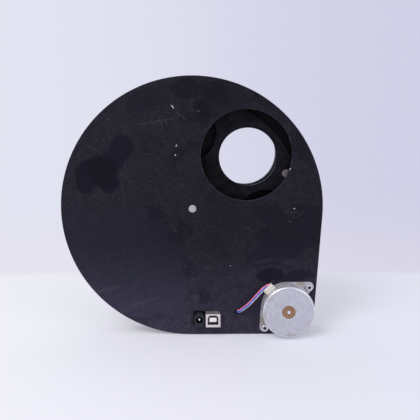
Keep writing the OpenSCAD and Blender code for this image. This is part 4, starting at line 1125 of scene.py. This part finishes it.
screwPiece("boardScrews", {
    "at": boardScrews, "level": boardLow.z, "seed": 11, "flip": True, "headR": 1.9, "headH": 1.2,
    "shankR": 0.8, "length": 8.0, "hexR": 0.9, "recess": 0.6, "finish": "screwSteel"},
    "board_screws")

# motor
canLow, canHigh = flatBox("motor_can")
motor = {"r": (canHigh.x - canLow.x) / 2, "top": canHigh.z, "foot": flangeTop, "sheet": 0.8, "bend": 1.6,
         "bushR": 5.27, "earR": 4.0, "screwR": 1.7, "edge": 0.3, "holeEdge": 0.15}


def bendRows(r, level, bend, steps=10):
    # the can's rounded shoulder, from the side up onto the end
    return [(*spot, 0.5) for spot in arc(Vector((r - bend, level - bend)), bend, 0, 90, steps)]


def makeCan(s):
    r, top, t, bushR = s["r"], s["top"], s["sheet"], s["bushR"]
    outer = [(r, s["foot"]), (r, top - s["bend"] - 0.4)] + bendRows(r, top, s["bend"])
    outer += [(bushR + 0.9, top, 0.2), (bushR + 0.3, top - 0.06, 0.4), (bushR, top - 0.3, 0.4)]
    inner = [(bushR, top - t)] + bendRows(r - t, top - t, s["bend"] - t)[::-1] + [(r - t, s["foot"])]
    bm = newShape()
    lathe(bm, outer + inner, driveAt, 240)
    return finishMesh(bm, bpy.data.meshes.new("motorCan"), 40, Matrix.Identity(4))


def plugBlock(bm, start, end, across, low, high, r):
    # a block on the plug's line, between two radii from the motor's axis
    block(bm, (start, across[0], low), (end, across[1], high), r, plug["angle"], driveAt)


plugHalf, plugGap = plug["width"] / 2, plug["seat"]
plugLow, plugHigh = plug["lift"] - plug["height"] / 2, plug["lift"] + plug["height"] / 2


def makeWindowedCan(s):
    bm = bmesh.new()
    half = plugHalf + plugGap
    plugBlock(bm, s["r"] - 3, s["r"] + 3, (-half, half), plugLow - plugGap, plugHigh + plugGap, 0.3)
    window = newObject("window", plainMesh("window", bm))
    tree, given = shapeTree("canWindow", {"Window": "Object", "Material": "Material"})
    cutWith(tree, given, fromObject(tree, given["Window"]))
    runTree("motorCan", makeCan(s), tree, {"Window": window, "Material": finish["canZinc"]}, 40,
            "motor_can")


makeWindowedCan(motor)


def flangeOutline(s):
    # straight sides towards the plug, and the can's own round edge on the far half
    low, high = sorted((at - driveAt for at in motorScrews), key=lambda e: e.x)
    r, earR = s["r"], s["earR"]
    spread = math.degrees(math.acos((r - earR) / high.length))
    neck = math.degrees(math.asin((earR + 0.1) / r))
    first, second = bearing(high), bearing(low) + 360
    return (arc(driveAt + high, earR, first - 88, first + spread, 30)
            + arc(driveAt, r, first + spread, second - spread, 60)
            + arc(driveAt + low, earR, second - spread, second + 88, 30)
            + arc(driveAt, r, second + neck, first + 360 - neck, 60))


def makeFlange(s):
    bm = newShape()
    outer = wall(bm, flangeOutline(s), roundEdge(flangeTop, s["edge"], -1) + [(0, 0, 0)])
    outlines = [circle(at, s["screwR"], 40) for at in motorScrews] + [circle(driveAt, s["bushR"], 64)]
    drilled(bm, *outer, flangeTop, 0, [(outline, s["holeEdge"]) for outline in outlines])
    finishPiece("motorFlange", bm, "flangeZinc", "motor_flange")


makeFlange(motor)

bushLow, bushHigh = flatBox("motor_rear_bush")
bush = {"r": 5.25, "bore": 1.55, "edge": 0.25, "dish": 0.16, "foot": bushLow.z, "top": bushHigh.z}


def bushRows(s):
    r, bore, edge, dish, top = s["r"], s["bore"], s["edge"], s["top"] - s["dish"], s["top"]
    return [(bore, s["foot"]), (r, s["foot"]), (r, top - edge, 1), (r - 0.1, top - 0.07, 1),
            (r - edge, top, 1), (3.9, top, 0), (3.6, dish, 0), (2.3, dish, 0), (2.0, top - 0.02, 0),
            (bore + 0.15, top, 0.5), (bore, top - 0.2, 0.5)]


turnedPiece("motorRearBush", bushRows(bush), driveAt, 96, "bronze", "motor_rear_bush")

shaftLow, shaftHigh = flatBox("motor_shaft")
shaft = {"r": 1.5, "foot": shaftLow.z, "top": shaftHigh.z}


def shaftRows(s):
    r, foot, top = s["r"], s["foot"], s["top"]
    return [(0, foot), (r - 0.3, foot), (r, foot + 0.3), (r, top - 0.4), (r - 0.1, top - 0.14, 1),
            (r - 0.35, top, 1), (0.35, top, 0), (0, top - 0.3)]


turnedPiece("motorShaft", shaftRows(shaft), driveAt, 64, "shaftSteel", "motor_shaft",
            "motor_rotor")

# axle end
axleLow, axleHigh = flatBox("axle")
axle = {"r": 3.175, "shoulderR": 4.2, "shoulderTop": -3.2, "shoulderFoot": -8.2, "screwR": 1.62,
        "screwDepth": 8.15, "foot": axleLow.z, "top": axleHigh.z}


def axleRows(s):
    r, wide, top, foot, end = s["r"], s["shoulderR"], s["top"], s["foot"], s["foot"] + s["screwDepth"]
    return [(s["screwR"], foot), (r, foot), (r, s["shoulderFoot"]), (wide, s["shoulderFoot"]),
            (wide, s["shoulderTop"]), (r, s["shoulderTop"]), (r, top - 0.35, 0.5), (r - 0.12, top - 0.1, 1),
            (r - 0.4, top, 1), (1.0, top, 0), (0.75, top - 0.25, 0), (0, top - 0.45, 0), (0, end),
            (s["screwR"], end)]


turnedPiece("axle", axleRows(axle), centre, 96, "turnedSteel", "axle")


# motor socket and lead plug
def makeSocket(s):
    bm = newShape()
    root, half = s["canR"] + s["seat"], plugHalf + s["lip"]
    plugBlock(bm, s["canR"] - 1.6, root + 0.3, (-plugHalf, plugHalf), plugLow, plugHigh, 0.2)
    plugBlock(bm, root, root + s["collar"], (-half, half), plugLow - s["lip"], plugHigh + s["lip"], 0.35)
    finishPiece("motorSocket", bm, "creamNylon", "motor_socket")


def makePlug(s):
    bm = newShape()
    root = s["canR"] + s["seat"] + s["collar"]
    plugBlock(bm, root, root + s["depth"], (-plugHalf, plugHalf), plugLow, plugHigh, 0.35)
    for side in (-plugHalf, plugHalf):
        plugBlock(bm, root + 0.05, root + s["depth"] - 1, (side - 0.45, side + 0.45), plugHigh - 0.3,
                  plugHigh + 0.55, 0.2)
    finishPiece("leadPlug", bm, "creamNylon", "lead_plug")


makeSocket(plug)
makePlug(plug)

# data socket
usb = {"mouthW": 8.5, "mouthH": 7.8, "lift": 0.5, "corner": 1.6, "depth": 9.0, "tongueW": 5.7, "tongueH": 3.6,
       "cornerR": 0.7, "edge": 0.35, "mouthEdge": 0.3, "tongueBack": 0.8, "top": usbHigh.z, "springX": 2.6,
       "springHalf": 1.1, "springFront": 1.6, "springBack": 6.2, "contactX": 1.25, "contactHalf": 0.6,
       "contactStart": 0.3, "contactEnd": 8.22}
usbAt = ((usbLow + usbHigh) / 2).to_2d()
mouthAt = usbAt + Vector((0, usb["lift"]))


def mouthOutline(s, r=0.35):
    # a square mouth whose two upper corners are cut off
    w, h, c = s["mouthW"] / 2, s["mouthH"] / 2, s["corner"]
    corners = [(-w, -h), (w, -h), (w, h - c), (w - c, h), (c - w, h), (-w, h - c)]
    points = []
    for last, corner, following in around([mouthAt + Vector(corner) for corner in corners]):
        a, b = [corner + (other - corner).normalized() * r for other in (last, following)]
        points += [a, (a + b + 2 * corner) / 4, b]
    return points


def socketBlock(bm, outline, low, mouth, s):
    # a block whose front edge is rounded, with a blind mouth
    top, floor = s["top"], s["top"] - s["depth"]
    outer = wall(bm, outline, roundEdge(top, s["edge"], -1, 4) + [(0, low, 0)])
    inner = wall(bm, mouth, roundEdge(top, s["mouthEdge"], -1) + [(0, floor, 0)], hole=True)
    cap(bm, outer[0], inner[0])
    cap(bm, inner[1])
    cap(bm, outer[1])


def makeUsbShell(s):
    bm = newShape()
    top = s["top"]
    outline = roundedBlock(usbLow.to_2d(), usbHigh - usbLow, s["cornerR"])
    socketBlock(bm, outline, usbLow.z, mouthOutline(s), s)
    # painted shade on the walls deep in the mouth
    reach = (s["mouthW"] / 2 + 0.02, s["mouthH"] / 2 + s["lift"] + 0.02)
    paintShade(bm, usbAt, reach, top - s["edge"], 0.85)
    # two leaf springs pressed out of the upper side
    half, front, back = s["springHalf"], top - s["springFront"], top - s["springBack"]
    for x in (usbAt.x - s["springX"], usbAt.x + s["springX"]):
        block(bm, (x - half, usbHigh.y - 0.2, back), (x + half, usbHigh.y + 0.02, front), 0.12)
    finishPiece("usbShell", bm, "shellTin", "usb_shell")


def makeUsbTongue(s):
    bm = newShape()
    floor, half = s["top"] - s["depth"], Vector((s["tongueW"] / 2, s["tongueH"] / 2))
    block(bm, (*(mouthAt - half), floor - 0.3), (*(mouthAt + half), s["top"] - s["tongueBack"]), 0.3)
    rings = wall(bm, mouthOutline(s), [(-0.03, floor + 0.05, 0), (-0.03, floor + 0.4, 0)])
    for ring in rings:
        cap(bm, ring)
    finishPiece("usbTongue", bm, "whitePlastic", "usb_insulator")


def makeUsbContacts(s):
    bm = newShape()
    floor, half = s["top"] - s["depth"], s["contactHalf"]
    for x in (mouthAt.x - s["contactX"], mouthAt.x + s["contactX"]):
        for y in (mouthAt.y - s["tongueH"] / 2, mouthAt.y + s["tongueH"] / 2):
            block(bm, (x - half, y - 0.3, floor + s["contactStart"]),
                  (x + half, y + 0.42, floor + s["contactEnd"]), 0.15)
    finishPiece("usbContacts", bm, "contactGold", "usb_contacts")


makeUsbShell(usb)
makeUsbTongue(usb)
makeUsbContacts(usb)

# power jack
jack = {"foot": 5.9, "lift": 1.2, "corner": 0.5, "holeR": 2.75, "pinR": 1.0, "depth": 9.0, "edge": 0.3,
        "mouthEdge": 0.35, "pinBack": 1.2, "top": jackHigh.z}
jackAt = Vector(((jackLow.x + jackHigh.x) / 2, jackLow.y + jack["foot"]))


def makeJack(s):
    bm = newShape()
    half, corner = (jackHigh.x - jackLow.x) / 2, s["corner"]
    foot = Vector((jackAt.x, jackLow.y + corner))
    aside = Vector((half - corner, 0))
    outline = (arc(foot - aside, corner, 180, 270, 4) + arc(foot + aside, corner, 270, 360, 4)
               + arc(jackAt + Vector((0, s["lift"])), half, 0, 180, 40))
    socketBlock(bm, outline, jackLow.z, circle(jackAt, s["holeR"]), s)
    # painted shade on the walls deep in the hole
    paintShade(bm, jackAt, (s["holeR"] + 0.02,) * 2, s["top"] - 0.4, 0.9)
    finishPiece("jackBody", bm, "blackPlastic", "jack_body")


def pinRows(s):
    r, foot, top = s["pinR"], s["top"] - s["depth"] - 0.3, s["top"] - s["pinBack"]
    return [(0, foot), (r, foot), (r, top - 0.7), (r * 0.9, top - 0.3), (r * 0.6, top - 0.08), (0, top)]


makeJack(jack)
turnedPiece("jackPin", pinRows(jack), jackAt, 48, "pinNickel", "jack_pin")

# the CAD pieces that keep their own shape
carried = {
    "turnedSteel": ["axle_shim"], "cageBrass": ["bearing_cages"], "hubMetal": ["wheel_hub", "drive_pulley"],
    "bearingSteel": ["bearing_inner_races", "bearing_outer_races", "bearing_balls"],
    "magnetNickel": ["index_magnet"], "blackSteel": ["pulley_set_screw"], "bronze": ["motor_front_bush"],
    "rotorFerrite": ["motor_rotor"], "windingEnamel": ["stator_coils"], "poleIron": ["stator_poles"],
    # the lead header takes black plastic, not cream, so that the lead hole over it looks dark: painted shade
    "boardGreen": ["controller_board"], "screwSteel": ["board_standoffs"], "blackPlastic": ["lead_header"],
    "pinNickel": ["jack_spring", "board_crystal"], "capacitorEpoxy": ["board_capacitors"],
    "chipEpoxy": ["board_chips", "voltage_regulator", "hall_sensor"],
}
for material, nodes in carried.items():
    for node in nodes:
        slots = frame["nodes"][node].data.materials
        slots.clear()
        slots.append(finish[material])
    print("carried over in", material + ":", len(nodes))

# stage, light and camera
stage = {"floorZ": cadBox[0].z, "reach": 1.6, "seamY": 0.198, "seamSoft": 0.014,
         "left": (0.845, 0.845, 0.905), "right": (0.770, 0.768, 0.872), "leftX": -0.20, "rightX": 0.16,
         "plainLeft": (0.815, 0.815, 0.905), "plainRight": (0.745, 0.740, 0.855), "plainShare": 0.35}
sky = {"light": (1.0, 1.0, 1.02), "strength": 0.76, "left": (0.765, 0.775, 0.885),
       "right": (0.640, 0.632, 0.795), "lowLeft": (0.785, 0.770, 0.860), "lowRight": (0.700, 0.688, 0.800),
       "across": (-0.26, 0.30), "rise": (-0.26, -0.12)}
lamps = {"keyLamp": {"at": (-1.17, -1.65, 1.71), "size": 1.3, "power": 33},
         "fillLamp": {"at": (1.58, -1.98, 0.83), "size": 1.8, "power": 11}}
lampTarget = Vector((-0.03, 0, -0.05))


def seenRays(tree):
    # camera, mirror and glass rays see the plain pale colour
    rays = [Wire(socket) for socket in addNode(tree, "ShaderNodeLightPath", {})
            if socket.name in ("Is Camera Ray", "Is Glossy Ray", "Is Transmission Ray")]
    return rays[0].most(rays[1]).most(rays[2])


def mixShader(share, first, second):
    return share.add("MixShader", {0: share, 1: first, 2: second})


def makeStage(s):
    # the floor ends softly behind the object, where the pale backdrop begins
    material = bpy.data.materials.new("paleStage")
    tree = freshTree(material)
    x, y, z = coordinate(tree, "Object").parts()
    # painted shade: the floor's colour grows darker to the right, where less light falls
    across = fade(x, s["leftX"], s["rightX"])
    lit = across.add("BsdfDiffuse", {0: blend(across, s["left"], s["right"])})
    # for the rays that see it, a share of the floor keeps its plain colour, so the shadows stay soft
    plain = across.add("Emission", {0: blend(across, s["plainLeft"], s["plainRight"])})
    lit = mixShader(seenRays(tree) * s["plainShare"], lit, plain)
    clear = across.add("BsdfTransparent", {})
    end = s["seamY"] + s["seamSoft"]
    beyond = fade(y, s["seamY"] - s["seamSoft"], end)
    addNode(tree, "ShaderNodeOutputMaterial", {0: mixShader(beyond, lit, clear)})
    mesh = bpy.data.meshes.new("floor")
    reach, z = s["reach"], s["floorZ"]
    mesh.from_pydata([(-reach, -reach, z), (reach, -reach, z), (reach, end, z), (-reach, end, z)],
                     [], [(0, 1, 2, 3)])
    mesh.materials.append(material)
    newObject("floor", mesh)


def makeWorld(s):
    world = bpy.data.worlds.new("studio")
    bpy.context.scene.world = world
    tree = freshTree(world)
    # the backdrop is painted a little darker to the right, painted shade where less light falls, and warmer where
    # it meets the floor
    x, y, z = coordinate(tree, "Generated").parts()
    across = fade(x, *s["across"])
    pale = blend(fade(z, *s["rise"]), blend(across, s["lowLeft"], s["lowRight"]),
                 blend(across, s["left"], s["right"]))
    soft = across.add("Background", {0: (*s["light"], 1), 1: s["strength"]})
    seen = across.add("Background", {0: pale, 1: 1.0})
    addNode(tree, "ShaderNodeOutputWorld", {0: mixShader(seenRays(tree), soft, seen)})


def place(name, data, at, toward, roll=0.0):
    # puts up a lamp or a camera that looks along a direction
    item = newObject(name, data)
    item.location = at
    item.rotation_mode = "QUATERNION"
    item.rotation_quaternion = Vector(toward).to_track_quat("-Z", "Y") @ Quaternion((0, 0, 1), roll)
    return item


makeStage(stage)
makeWorld(sky)
for name, lamp in lamps.items():
    light = bpy.data.lights.new(name, "AREA")
    light.shape = "DISK"
    light.size = lamp["size"]
    light.energy = lamp["power"]
    place(name, light, lamp["at"], lampTarget - Vector(lamp["at"]))

view = {"at": (-0.0398, -0.5148, 0.0383), "toward": (0.02102, 0.98730, -0.15744), "roll": 0.00128,
        "lens": 55.84, "sensor": 36.0, "nearest": 0.01}
camera = bpy.data.cameras.new("camera")
camera.lens = view["lens"]
camera.sensor_width = view["sensor"]
camera.clip_start = view["nearest"]
bpy.context.scene.camera = place("camera", camera, view["at"], view["toward"], view["roll"])
bpy.context.scene.view_settings.view_transform = "Standard"

print("scene made")
